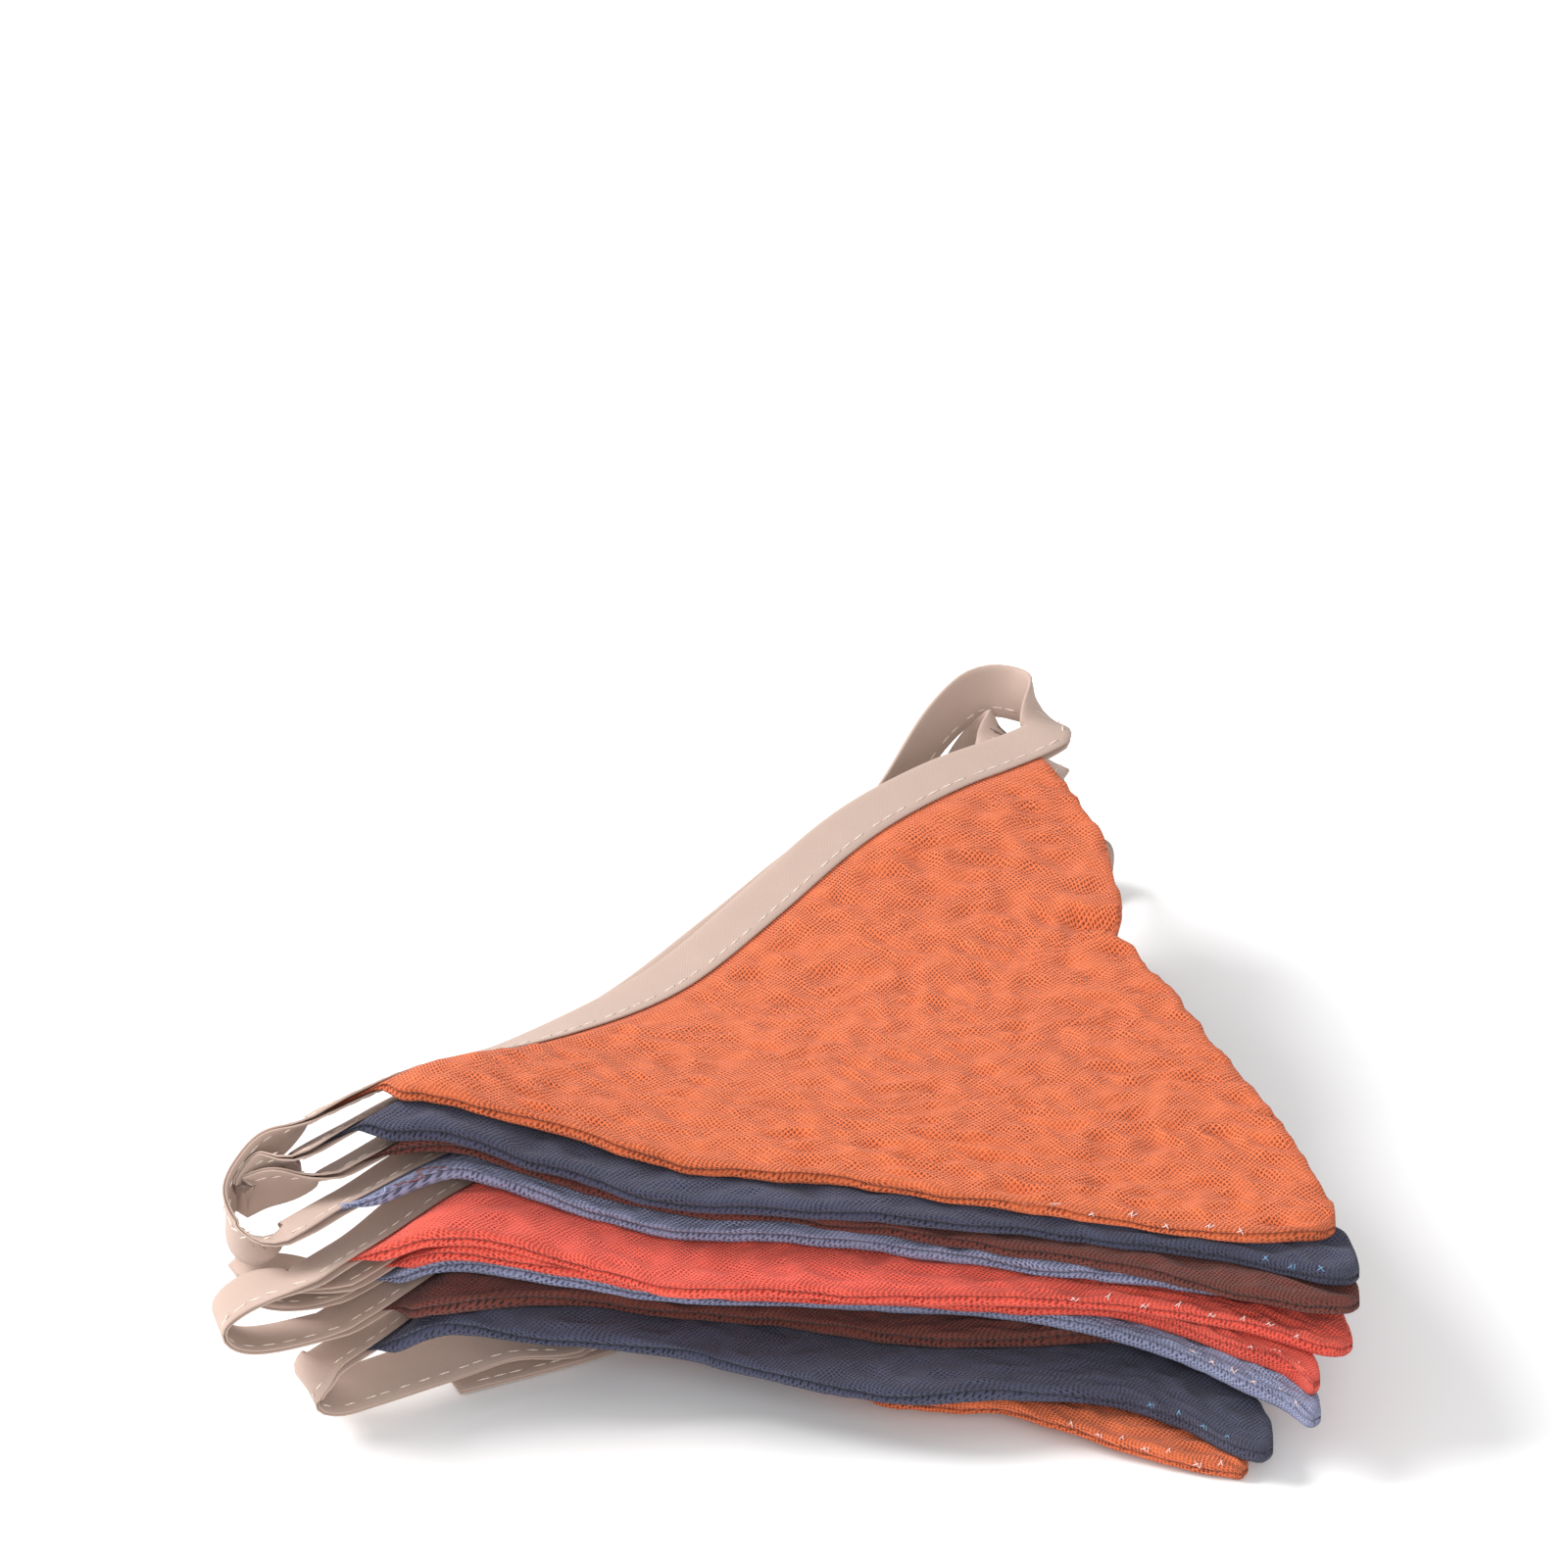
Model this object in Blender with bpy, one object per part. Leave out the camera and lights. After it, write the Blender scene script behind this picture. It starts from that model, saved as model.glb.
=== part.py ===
"""Fabric bunting, folded into a stack.

Ten doubled gauze pennants hang on one continuous folded tape. The string is folded back and forth, so
the pennants lie on each other and the tape loops from one to the next at two of their corners.
+X runs along the front hems, +Y away from them, +Z up. The stack stands on z = 0.
"""
import math

import bmesh
import bpy
from mathutils import Vector

MM = 0.001

# Sizes of the cut pieces, in millimetres
TOP_EDGE = 180.0
CLOTH_THICKNESS = 2.4
HEM_THICKNESS = 1.5
EDGE_THICKNESS = 0.8
TIP_WIDTH = 9.0
TAPE_WIDTH = 10.0
TAPE_WALL = 0.4
SLOT_AT_PENNANT = 1.6
SLOT_CLOSED = 0.3
CLOTH_IN_TAPE = 8.0
# The tape leans as the cloth does over this span, so it twists less than the cloth
TAPE_LEAN_SPAN = 30.0

# The cloth reaches its full thickness this far past the tape's lips
CLOTH_SWELL = 4.0
LIPS_INSET = 0.1

# Facets
COLUMNS = 15
DENSE_COLUMNS = 6
DENSE_TO = 0.34
HEM_COLUMN = 0.018
ROWS = 14
TOP_ROWS = 18
TIP_ROW = 0.98
ON_RIM = 0.001
LOOP_STATIONS = 11
TAIL_STATIONS = 26
CURVE_STEPS = 24
# Share of the taped edge by which the tape runs straight on past each corner
TAPE_RUN_ON = 0.008

# Shift that brings the middle of the stack's footprint to the origin, in millimetres
CENTRE_X = 0.7
CENTRE_Y = 50.3

# One row a pennant, top of the stack first: corner A at the left, corner C at the tip, the direction of
# the taped edge in degrees, and the share of the stack's height at its back
PENNANTS = [
    # name, colour, A x, A y, C x, C y, edge angle, height share
    ("pennant_01_orange", "orange", -84.7, -2.5, 95, -27, 44.1, 1.000),
    ("pennant_02_navy", "navy", -87.9, -8.7, 99, -35, 46.9, 0.910),
    ("pennant_03_brown", "brown", -82.9, -9.7, 99, -38, 46.4, 0.820),
    ("pennant_04_lavender", "lavender", -88.9, -21.7, 99, -28, 46.9, 0.730),
    ("pennant_05_coral", "coral", -87.1, -27.9, 98, -40, 48.9, 0.635),
    ("pennant_06_coral", "coral", -80.9, -22.8, 92, -47, 47.4, 0.540),
    ("pennant_07_lavender", "lavender", -82.8, -20.6, 92, -51, 45.4, 0.445),
    ("pennant_08_brown", "brown", -82, -25.8, 85, -36, 47.9, 0.350),
    ("pennant_09_navy", "navy", -84, -28.9, 84, -51, 48.4, 0.240),
    ("pennant_10_orange", "orange", -43, -9, 80, -51, 58.0, 0.0),
]

# Places along X where the front hems are given, in millimetres
HEM_X = (-80, -60, -40, -20, 0, 20, 40, 60, 80, 98)

# How far forward each front hem lies at those places, a row for each pennant
HEM_Y = [
    (-7, -9, -11, -15, -17, -19.5, -22, -24.5, -28, -27),
    (-13, -14, -17, -21, -22, -24, -24, -26, -29, -35),
    (-14, -11, -14, -17.5, -19, -23, -25.5, -28.5, -35, -38),
    (-22, -14, -16, -20, -20, -23, -25, -27, -29, -28),
    (-30, -27.5, -28, -33, -32, -33, -31, -30, -34, -40),
    (-27, -26, -26, -27, -28, -28, -28, -27, -37, -50),
    (-25, -24, -24, -24, -24, -24.5, -25, -29.5, -42, -53),
    (-30, -31, -25, -24, -25.5, -29.5, -28.5, -24, -33, -40),
    (-33, -31, -32, -30.5, -37.5, -42, -39, -38, -50, -56),
    (-9, -9, -10, -11, -18, -32, -36, -44.5, -51, -54),
]

# How high the middle of each front hem lies at those places
HEM_Z = [
    (47.5, 51.5, 48.2, 43, 41.7, 40.6, 38.4, 36.7, 36, 36),
    (43.1, 46.9, 42.7, 38.5, 37.6, 37.1, 35, 33.2, 32.4, 32),
    (39.4, 42.45, 38.8, 35, 34.2, 33.6, 31.6, 29.8, 28.8, 28),
    (36, 39.7, 35.6, 31.6, 30.8, 30, 28.2, 26.4, 25.2, 24.2),
    (29.5, 35, 31.5, 28, 27.2, 26.4, 24.7, 23, 21.6, 20.2),
    (25.5, 31.2, 28.1, 24.5, 23.6, 22.8, 21.2, 19.4, 17.8, 16.4),
    (22, 27.1, 24.4, 20.9, 20, 19.2, 17.8, 15.8, 13.6, 12.2),
    (18.5, 23.4, 20.8, 17.4, 16.5, 15.6, 14.4, 12.2, 9.8, 8.6),
    (12, 18.6, 17.5, 14, 12.6, 11.8, 10.6, 8.2, 5.8, 5.0),
    (1.2, 1.2, 1.2, 1.2, 1.2, 3.0, 4.6, 2.4, 1.2, 1.2),
]

# Height of the top pennant along its taped edge and along its far side, from the front to corner B
BACK_STEPS = (0.0, 0.15, 0.3, 0.45, 0.6, 0.75, 0.88, 1.0)
TAPED_EDGE_Z = (47.5, 46.0, 42.5, 41.5, 45.0, 49.5, 51.0, 50.0)
FAR_SIDE_Z = (37.0, 38.5, 40.5, 42.0, 43.5, 45.5, 48.0, 50.0)
# How far those two sides lie in from a straight line, top pennant, in millimetres
TAPED_EDGE_IN = (0.0, 1.0, 3.0, 3.5, 0.5, -2.5, -2.0, 0.0)
FAR_SIDE_IN = (0.0, 0.5, 2.5, 4.0, 6.0, -1.5, -0.5, 0.0)
LOWER_PENNANTS_IN = 0.35
# Share of the way down over which the front hem leaves its straight line
HEM_BLEND = (0.05, 0.12)
HEM_STRIP = 0.012
HEM_SOLVE_STEPS = 5

# The footprint that all heights are read on
FRONT_LEFT = Vector((-80.0, -15.0))
FRONT_RIGHT = Vector((95.0, -38.0))
BACK_CORNER = Vector((44.0, 122.0))
FRONT_FADE = 0.3
BACK_SPREAD = 0.12

# The tail runs under the bottom pennant, which arches over it
TAIL_BED = [(11, 96), (12, 88), (14, 70), (13, 50), (6, 31), (-8, 12), (-30, -6), (-62, -22)]
ARCH_HEIGHT = 2.8
ARCH_FLAT = 8.0
ARCH_SHOULDER = 14.0

# How steeply each tape leans at corner A, where it rolls down towards the back of the stack
TAPE_ROLL = (0.66, 0.6, 0.46, 0.3, 0.15, 0.04, 0.0, 0.0, 0.0, 0.0)
ROLL_ENDS = (0.06, 0.48)
ROLL_FADE = 26.0

# Order in which the string visits the stack, and the corner that each visit starts at
STRING_ORDER = (
    (0, "B"), (3, "A"), (4, "B"), (7, "A"), (8, "B"),
    (9, "A"), (6, "B"), (5, "A"), (2, "B"), (1, "A"),
)

# Free stretches of tape: middle of the tape and the way its lips face, in millimetres
FIRST_TAIL = [
    # x, y, z, lips x, lips y, lips z
    (-56, 38, 5.4, 0.1, -0.1, -1),
    (-42, 52, 5.4, 0.1, -0.1, -1),
    (-25, 70, 6.5, 0.1, -0.1, -1),
    (-8, 88, 13, 0.1, -0.1, -1),
    (8, 106, 24, 0.1, -0.1, -1),
    (20, 120, 36, 0.05, -0.1, -1),
    (29, 131, 45.5, 0, -0.2, -1),
    (37, 137, 49.5, 0, -0.3, -1),
    (44, 136, 49.5, 0.2, -0.5, -0.85),
    (48, 129.5, 50, 0.5, -0.7, -0.4),
]
LOOPS = [
    [(-92.5, -9.5, 41.5, 0.2, -0.1, 0.97), (-98, -16, 35, 0, 0, 1), (-95.5, -22.5, 31, 0, -0.3, 0.95)],
    [(39.5, 120, 35.8, 0.7, -0.7, 0), (41.5, 125.2, 33.2, 0.75, -0.65, 0), (37.5, 119.5, 30.8, 0.7, -0.7, 0)],
    [(-94, -33, 28, 0.3, -0.9, -0.05), (-99.4, -35.5, 23.4, 0.2, -1, 0), (-95, -35, 19, 0.3, -0.9, 0.1)],
    [(50, 120, 15.5, 0.7, -0.7, 0), (52, 123, 12.4, 0.7, -0.7, 0), (48, 118, 9.8, 0.7, -0.7, 0)],
    [(-84.5, -32, 7, 0.4, -0.9, -0.1), (-81, -32, 4.9, 0.35, -0.9, -0.2), (-74, -28.5, 5.2, 0.3, -0.9, -0.3),
     (-59, -19.5, 5.2, 0.35, -0.85, -0.35), (-49, -14, 4.9, 0.5, -0.8, -0.2)],
    [(58, 146, 2.6, 0.8, -0.5, 0), (59, 149.5, 8, 0.8, -0.5, 0), (56, 143, 14.5, 0.75, -0.6, 0),
     (51, 125, 19.5, 0.7, -0.7, 0)],
    [(-92.5, -20.5, 20.4, 0.5, -0.8, 0), (-97, -20, 22, 0.4, -0.9, 0), (-92.5, -20.5, 23.6, 0.5, -0.8, 0)],
    [(48, 120, 26, 0.65, -0.75, 0), (50, 131, 28, 0.55, -0.8, 0), (49, 136, 33.5, 0.55, -0.8, 0),
     (49.3, 131, 38, 0.6, -0.75, 0)],
    [(-92, -13, 36.5, 0.3, -0.2, 0.93), (-96.5, -14.5, 35, 0.1, 0, 1), (-92, -11.5, 38.5, 0.2, -0.1, 0.97)],
]
SECOND_TAIL = [
    (41.5, 126, 46.9, 0.6, -0.7, -0.2),
    (38.9, 130.9, 42.6, 0.25, -0.4, -0.88),
    (33.2, 128.9, 34.8, 0.1, -0.2, -1),
    (27, 125, 28, 0.1, -0.1, -1),
    (19, 118, 19, 0.25, -0.1, -0.95),
    (13, 113, 12, 0.5, 0, -0.85),
    (10.5, 104, 4.6, 0.85, 0.1, -0.5),
    (11, 94, 1.3, 0.99, 0.12, 0),
    (13, 80, 1.1, 0.995, 0.1, 0),
    (14, 60, 1.1, 0.99, -0.12, 0),
    (8, 36, 1.1, 0.9, -0.44, 0),
    (-8, 12, 1.1, 0.75, -0.66, 0),
    (-32, -7.5, 1.1, 0.55, -0.83, 0),
    (-60, -21, 1.1, 0.4, -0.92, 0),
]

COLOURS = {
    "orange": (0.73, 0.16, 0.052),
    "navy": (0.055, 0.055, 0.105),
    "brown": (0.155, 0.034, 0.023),
    "lavender": (0.30, 0.315, 0.47),
    "coral": (0.89, 0.107, 0.065),
    "beige": (0.58, 0.41, 0.31),
}


def smooth_step(low, high, value):
    """Ease from 0 at low to 1 at high."""
    share = min(max((value - low) / (high - low), 0.0), 1.0)
    return share * share * (3.0 - 2.0 * share)


def read_curve(places, values, place):
    """Read a smooth curve through a row of values, flat beyond both ends."""
    if place <= places[0]:
        return values[0]
    if place >= places[-1]:
        return values[-1]
    last = len(places) - 1
    k = max(j for j in range(last) if places[j] <= place)

    def slope(j):
        if j in (0, last):
            return 0.0
        return (values[j + 1] - values[j - 1]) / (places[j + 1] - places[j - 1])

    width = places[k + 1] - places[k]
    t = (place - places[k]) / width
    return (values[k] * (2 * t**3 - 3 * t**2 + 1) + slope(k) * width * (t**3 - 2 * t**2 + t)
            + values[k + 1] * (3 * t**2 - 2 * t**3) + slope(k + 1) * width * (t**3 - t**2))


def footprint_place(x, y):
    """Share towards corner B and share from left to right, on the shared footprint."""
    front = FRONT_RIGHT - FRONT_LEFT
    side = BACK_CORNER - FRONT_LEFT
    point = Vector((x, y)) - FRONT_LEFT
    area = front.x * side.y - front.y * side.x
    back = (front.x * point.y - front.y * point.x) / area
    right = (point.x * side.y - point.y * side.x) / area
    across = right / max(1.0 - back, BACK_SPREAD)
    return min(max(back, 0.0), 1.0), min(max(across, 0.0), 1.0)


def arch_over_tail(x, y):
    """Rise of the bottom pennant over the tail beneath it."""
    point = Vector((x, y))
    away = []
    for one, two in zip(TAIL_BED, TAIL_BED[1:]):
        start, way = Vector(one), Vector(two) - Vector(one)
        share = min(max((point - start).dot(way) / way.length_squared, 0.0), 1.0)
        away.append((start + way * share - point).length)
    return ARCH_HEIGHT * (1.0 - smooth_step(ARCH_FLAT, ARCH_SHOULDER + ARCH_FLAT, min(away)))


def middle_height(row, x, y):
    """Height of a pennant's middle surface above a place on the footprint."""
    back, across = footprint_place(x, y)
    front_z = read_curve(HEM_X, HEM_Z[row], x)
    share = PENNANTS[row][7]
    if share:
        behind = (1.0 - across) * read_curve(BACK_STEPS, TAPED_EDGE_Z, back)
        behind += across * read_curve(BACK_STEPS, FAR_SIDE_Z, back)
        back_z = behind * share
    else:
        back_z = CLOTH_THICKNESS / 2
    fade = smooth_step(0.0, FRONT_FADE, back)
    height = front_z * (1.0 - fade) + back_z * fade
    if not share:
        height = max(height, CLOTH_THICKNESS / 2) + arch_over_tail(x, y)
    return height


def corner(row, letter):
    """Plan position of corner A, B or C of a pennant."""
    a = Vector(PENNANTS[row][2:4])
    if letter == "A":
        return a
    if letter == "C":
        return Vector(PENNANTS[row][4:6])
    angle = math.radians(PENNANTS[row][6])
    return a + TOP_EDGE * Vector((math.cos(angle), math.sin(angle)))


def hem_slide(row, point, edge):
    """How far a point slides along the tape's direction to reach its front hem."""
    slide = 0.0
    for _ in range(HEM_SOLVE_STEPS):
        reached = point + edge * slide
        slide += (read_curve(HEM_X, HEM_Y[row], reached.x) - reached.y) / edge.y
    return slide


def plan_point(row, across, down):
    """Plan point of a pennant: across from corner A to B, down from the taped edge to the tip.

    Each row across runs parallel to the taped edge, so a hem's waves never reach into the tape.
    """
    a, b, c = (corner(row, letter) for letter in "ABC")
    edge = (b - a).normalized()
    inward = Vector((edge.y, -edge.x))
    depth_in = 1.0 if row == 0 else LOWER_PENNANTS_IN
    tip_half = edge * TIP_WIDTH / 2
    left = a.lerp(c - tip_half, down)
    right = b.lerp(c + tip_half, down)
    point = left.lerp(right, across)
    clear_of_tape = smooth_step(*HEM_BLEND, down)
    point += edge * hem_slide(row, left, edge) * clear_of_tape * (1.0 - across)**2
    point -= edge * depth_in * read_curve(BACK_STEPS, FAR_SIDE_IN, 1.0 - down) * across**2
    point += inward * depth_in * read_curve(BACK_STEPS, TAPED_EDGE_IN, across) * (1.0 - down)
    return point


def roll(row, across):
    """How steeply a pennant's tape rises towards its lips, most at corner A."""
    return TAPE_ROLL[row] * (1.0 - smooth_step(*ROLL_ENDS, across))


def surface_point(row, across, down):
    """Point on a pennant's middle surface, in millimetres."""
    plan = plan_point(row, across, down)
    a, b = corner(row, "A"), corner(row, "B")
    along = (plan - a).dot((b - a).normalized()) / TOP_EDGE
    fade = 1.0 - smooth_step(TAPE_WIDTH, TAPE_WIDTH + ROLL_FADE, down * side_length(row))
    lift = roll(row, along) * TAPE_WIDTH / 2 * fade
    return Vector((plan.x, plan.y, middle_height(row, plan.x, plan.y) + lift))


def tape_frame(row, across):
    """Fold line point of the tape on a pennant's top edge, and the way its lips face."""
    a, b = corner(row, "A"), corner(row, "B")
    inward = Vector((b.y - a.y, a.x - b.x)).normalized()
    bow = (1.0 if row == 0 else LOWER_PENNANTS_IN) * read_curve(BACK_STEPS, TAPED_EDGE_IN, across)
    fold = a.lerp(b, across) + inward * bow
    further = fold + inward * TAPE_LEAN_SPAN
    fold = Vector((fold.x, fold.y, middle_height(row, fold.x, fold.y)))
    further = Vector((further.x, further.y, middle_height(row, further.x, further.y)))
    flat_way = (further - fold).normalized()
    width_way = (flat_way + Vector((0.0, 0.0, roll(row, across)))).normalized()
    return fold + (flat_way - width_way) * TAPE_WIDTH / 2, width_way


def inside_tape(row, across, distance):
    """Point between the tape's two walls, on the flat facets between its stations."""
    shares = across_shares()
    across = min(max(across, 0.0), 1.0)
    k = max(j for j in range(len(shares) - 1) if shares[j] <= across)
    t = (across - shares[k]) / (shares[k + 1] - shares[k])
    one, two = tape_frame(row, shares[k]), tape_frame(row, shares[k + 1])
    return (one[0] + one[1] * distance).lerp(two[0] + two[1] * distance, t)


def side_length(row):
    """Distance from the taped edge to the tip, square to the edge."""
    a, b, c = (corner(row, letter) for letter in "ABC")
    return abs((b - a).normalized().cross(c - a))


def across_shares():
    """Places along the taped edge where both the cloth and the tape have a facet edge."""
    near_a = [HEM_COLUMN + (DENSE_TO - HEM_COLUMN) * j / DENSE_COLUMNS for j in range(DENSE_COLUMNS)]
    rest = COLUMNS - DENSE_COLUMNS - 2
    beyond = [DENSE_TO + (1.0 - HEM_COLUMN - DENSE_TO) * j / rest for j in range(rest + 1)]
    return [0.0] + near_a + beyond + [1.0]


def down_shares(row):
    """Places from the cloth's raw edge in the tape down to the tip."""
    length = side_length(row)
    raw_edge = (TAPE_WIDTH - CLOTH_IN_TAPE) / length
    lips = (TAPE_WIDTH - LIPS_INSET) / length
    clear = (TAPE_WIDTH + CLOTH_SWELL) / length
    count = TOP_ROWS if row == 0 else ROWS
    inner = [clear + (TIP_ROW - clear) * j / (count - 4) for j in range(count - 3)]
    return [raw_edge, lips] + inner + [1.0]


def cloth_point(row, across, down):
    """Point on the cloth, which keeps to the tape's own facets where it lies inside the tape."""
    if down > TAPE_WIDTH / side_length(row):
        return surface_point(row, across, down)
    a, b, c = (corner(row, letter) for letter in "ABC")
    edge = (b - a).normalized()
    ends = []
    for side, start in ((-0.5, a), (0.5, b)):
        flat = start.lerp(c + edge * TIP_WIDTH * side, down) - a
        ends.append(flat.dot(edge) / TOP_EDGE)
    distance = down * side_length(row)
    shares = across_shares()
    low = ends[0] + across / shares[1] * HEM_STRIP if across <= shares[1] else 0.0
    high = ends[1] - (1.0 - across) / shares[1] * HEM_STRIP if across >= shares[-2] else 1.0
    return inside_tape(row, min(max(across, low), high), distance)


def cloth_thickness(row, across, down):
    """Thickness of a pennant: thin in the tape, rounded at its hems, full in between."""
    length = side_length(row)
    body = smooth_step(TAPE_WIDTH / length, (TAPE_WIDTH + CLOTH_SWELL) / length, down)
    rim = min(across, 1.0 - across, 1.0 - down) < ON_RIM
    full = HEM_THICKNESS if rim else CLOTH_THICKNESS
    return EDGE_THICKNESS + (full - EDGE_THICKNESS) * body


def make_collection(name):
    """Add a collection to the scene."""
    collection = bpy.data.collections.new(name)
    bpy.context.scene.collection.children.link(collection)
    return collection


def make_material(name):
    """Principled cloth material in one of the listed colours."""
    material = bpy.data.materials.new(name)
    material.use_nodes = True
    shader = material.node_tree.nodes["Principled BSDF"]
    shader.inputs["Base Color"].default_value = (*COLOURS[name], 1.0)
    shader.inputs["Roughness"].default_value = 0.9
    shader.inputs["Metallic"].default_value = 0.0
    return material


def add_object(name, body, material, collection):
    """Turn a finished bmesh into a named object."""
    bmesh.ops.recalc_face_normals(body, faces=body.faces)
    if body.calc_volume(signed=True) < 0.0:
        bmesh.ops.reverse_faces(body, faces=body.faces)
    mesh = bpy.data.meshes.new(name)
    body.to_mesh(mesh)
    body.free()
    mesh.materials.append(material)
    thing = bpy.data.objects.new(name, mesh)
    collection.objects.link(thing)
    return thing


def build_pennant(row, material, collection):
    """One doubled triangle of cloth: a grid laid on the stack and given its thickness."""
    across = across_shares()
    down = down_shares(row)
    body = bmesh.new()
    bmesh.ops.create_grid(body, x_segments=len(across) - 1, y_segments=len(down) - 1, size=0.5)
    place = {}
    for vert in body.verts:
        i = round((vert.co.x + 0.5) * (len(across) - 1))
        j = round((vert.co.y + 0.5) * (len(down) - 1))
        place[vert] = (across[i], down[j])
    raised = bmesh.ops.extrude_face_region(body, geom=body.faces[:], use_keep_orig=True)
    upper = [item for item in raised["geom"] if isinstance(item, bmesh.types.BMVert)]
    lower = list(place)
    by_flat_place = {(round(v.co.x, 4), round(v.co.y, 4)): place[v] for v in lower}
    for vert in upper:
        place[vert] = by_flat_place[(round(vert.co.x, 4), round(vert.co.y, 4))]
    for group, way in ((lower, -0.5), (upper, 0.5)):
        for vert in group:
            u, v = place[vert]
            point = cloth_point(row, u, v)
            point.z += way * cloth_thickness(row, u, v)
            vert.co = MM * (point - Vector((CENTRE_X, CENTRE_Y, 0.0)))
    split_inside_tape(body, lower, upper, place, 1 if dict(STRING_ORDER)[row] == "A" else 0)
    return add_object(PENNANTS[row][0], body, material, collection)


def split_inside_tape(body, lower, upper, place, lips_row):
    """Split the cloth's first strip the same way as the tape's walls, so both keep to one surface."""
    for group in (lower, upper):
        corners = {place[vert]: vert for vert in group}
        across = sorted({u for u, _ in corners})
        down = sorted({v for _, v in corners})
        for u, next_u in zip(across, across[1:]):
            pair = [corners[(u, down[lips_row])], corners[(next_u, down[1 - lips_row])]]
            face = next(f for f in pair[0].link_faces if pair[1] in f.verts)
            bmesh.utils.face_split(face, pair[0], pair[1])


def pennant_stations(row, start):
    """Tape stations along one pennant, in the order that the string visits it."""
    shares = across_shares()
    shares = [-TAPE_RUN_ON] + shares + [1.0 + TAPE_RUN_ON]
    if start == "B":
        shares = shares[::-1]
    stations = []
    for share in shares:
        fold, width_way = tape_frame(row, min(max(share, 0.0), 1.0))
        if share < 0.0 or share > 1.0:
            end = 0.0 if share < 0.0 else 1.0
            inner_fold = tape_frame(row, abs(end - HEM_COLUMN))[0]
            fold = fold + (fold - inner_fold).normalized() * abs(share - end) * TOP_EDGE
        stations.append((fold + width_way * TAPE_WIDTH / 2, width_way, SLOT_AT_PENNANT))
    return stations


def free_stretch(before, knots, after, count):
    """Smooth free tape between two runs of stations, through its own knots."""
    centres = [Vector(knot[:3]) for knot in knots]
    ways = [Vector(knot[3:]).normalized() for knot in knots]
    if before:
        centres = [before[-2][0], before[-1][0]] + centres
        ways = [before[-2][1], before[-1][1]] + ways
    else:
        centres = [2 * centres[0] - centres[1]] + centres
        ways = [ways[0]] + ways
    if after:
        centres += [after[0][0], after[1][0]]
        ways += [after[0][1], after[1][1]]
    else:
        centres.append(2 * centres[-1] - centres[-2])
        ways.append(ways[-1])
    return even_points(centres, ways, count, bool(before), bool(after))


def even_points(centres, ways, count, skip_first, skip_last):
    """Evenly spaced stations on the curve through the inner knots, ends left to the runs they join."""
    fine = []
    for k in range(1, len(centres) - 2):
        p0, p1, p2, p3 = centres[k - 1:k + 3]
        chord = (p2 - p1).length
        m1 = (p2 - p0) / ((p2 - p1).length + (p1 - p0).length) * chord
        m2 = (p3 - p1) / ((p3 - p2).length + (p2 - p1).length) * chord
        for step in range(CURVE_STEPS + (k == len(centres) - 3)):
            t = step / CURVE_STEPS
            point = (p1 * (2 * t**3 - 3 * t**2 + 1) + m1 * (t**3 - 2 * t**2 + t)
                     + p2 * (3 * t**2 - 2 * t**3) + m2 * (t**3 - t**2))
            fine.append((point, ways[k].lerp(ways[k + 1], smooth_step(0.0, 1.0, t)).normalized()))
    lengths = [0.0]
    for one, two in zip(fine, fine[1:]):
        lengths.append(lengths[-1] + (two[0] - one[0]).length)
    stations = []
    for j in range(count + 1):
        if (j == 0 and skip_first) or (j == count and skip_last):
            continue
        wanted = lengths[-1] * j / count
        k = max(i for i in range(len(fine) - 1) if lengths[i] <= wanted + 1e-9)
        share = (wanted - lengths[k]) / max(lengths[k + 1] - lengths[k], 1e-9)
        point = fine[k][0].lerp(fine[k + 1][0], share)
        way = fine[k][1].lerp(fine[k + 1][1], share).normalized()
        stations.append((point, way, SLOT_CLOSED))
    return stations


def tape_stations():
    """All stations of the tape, from the end of one tail to the end of the other."""
    runs = [pennant_stations(row, start) for row, start in STRING_ORDER]
    stations = free_stretch(None, FIRST_TAIL, runs[0], TAIL_STATIONS)
    for k, run in enumerate(runs):
        stations += run
        if k < len(LOOPS):
            stations += free_stretch(run, LOOPS[k], runs[k + 1], LOOP_STATIONS)
    stations += free_stretch(runs[-1], SECOND_TAIL, None, TAIL_STATIONS)
    return stations


def section(centre, width_way, normal, slot):
    """Folded tape in section: two walls joined at the fold, open at the lips."""
    half = slot / 2
    outer = half + TAPE_WALL
    fold = -TAPE_WIDTH / 2
    lips = TAPE_WIDTH / 2
    profile = ((fold, -outer), (fold, outer), (lips, outer), (lips, half),
               (fold + 2 * TAPE_WALL, half), (fold + 2 * TAPE_WALL, -half), (lips, -half), (lips, -outer))
    return [centre + width_way * w + normal * n for w, n in profile]


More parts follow.
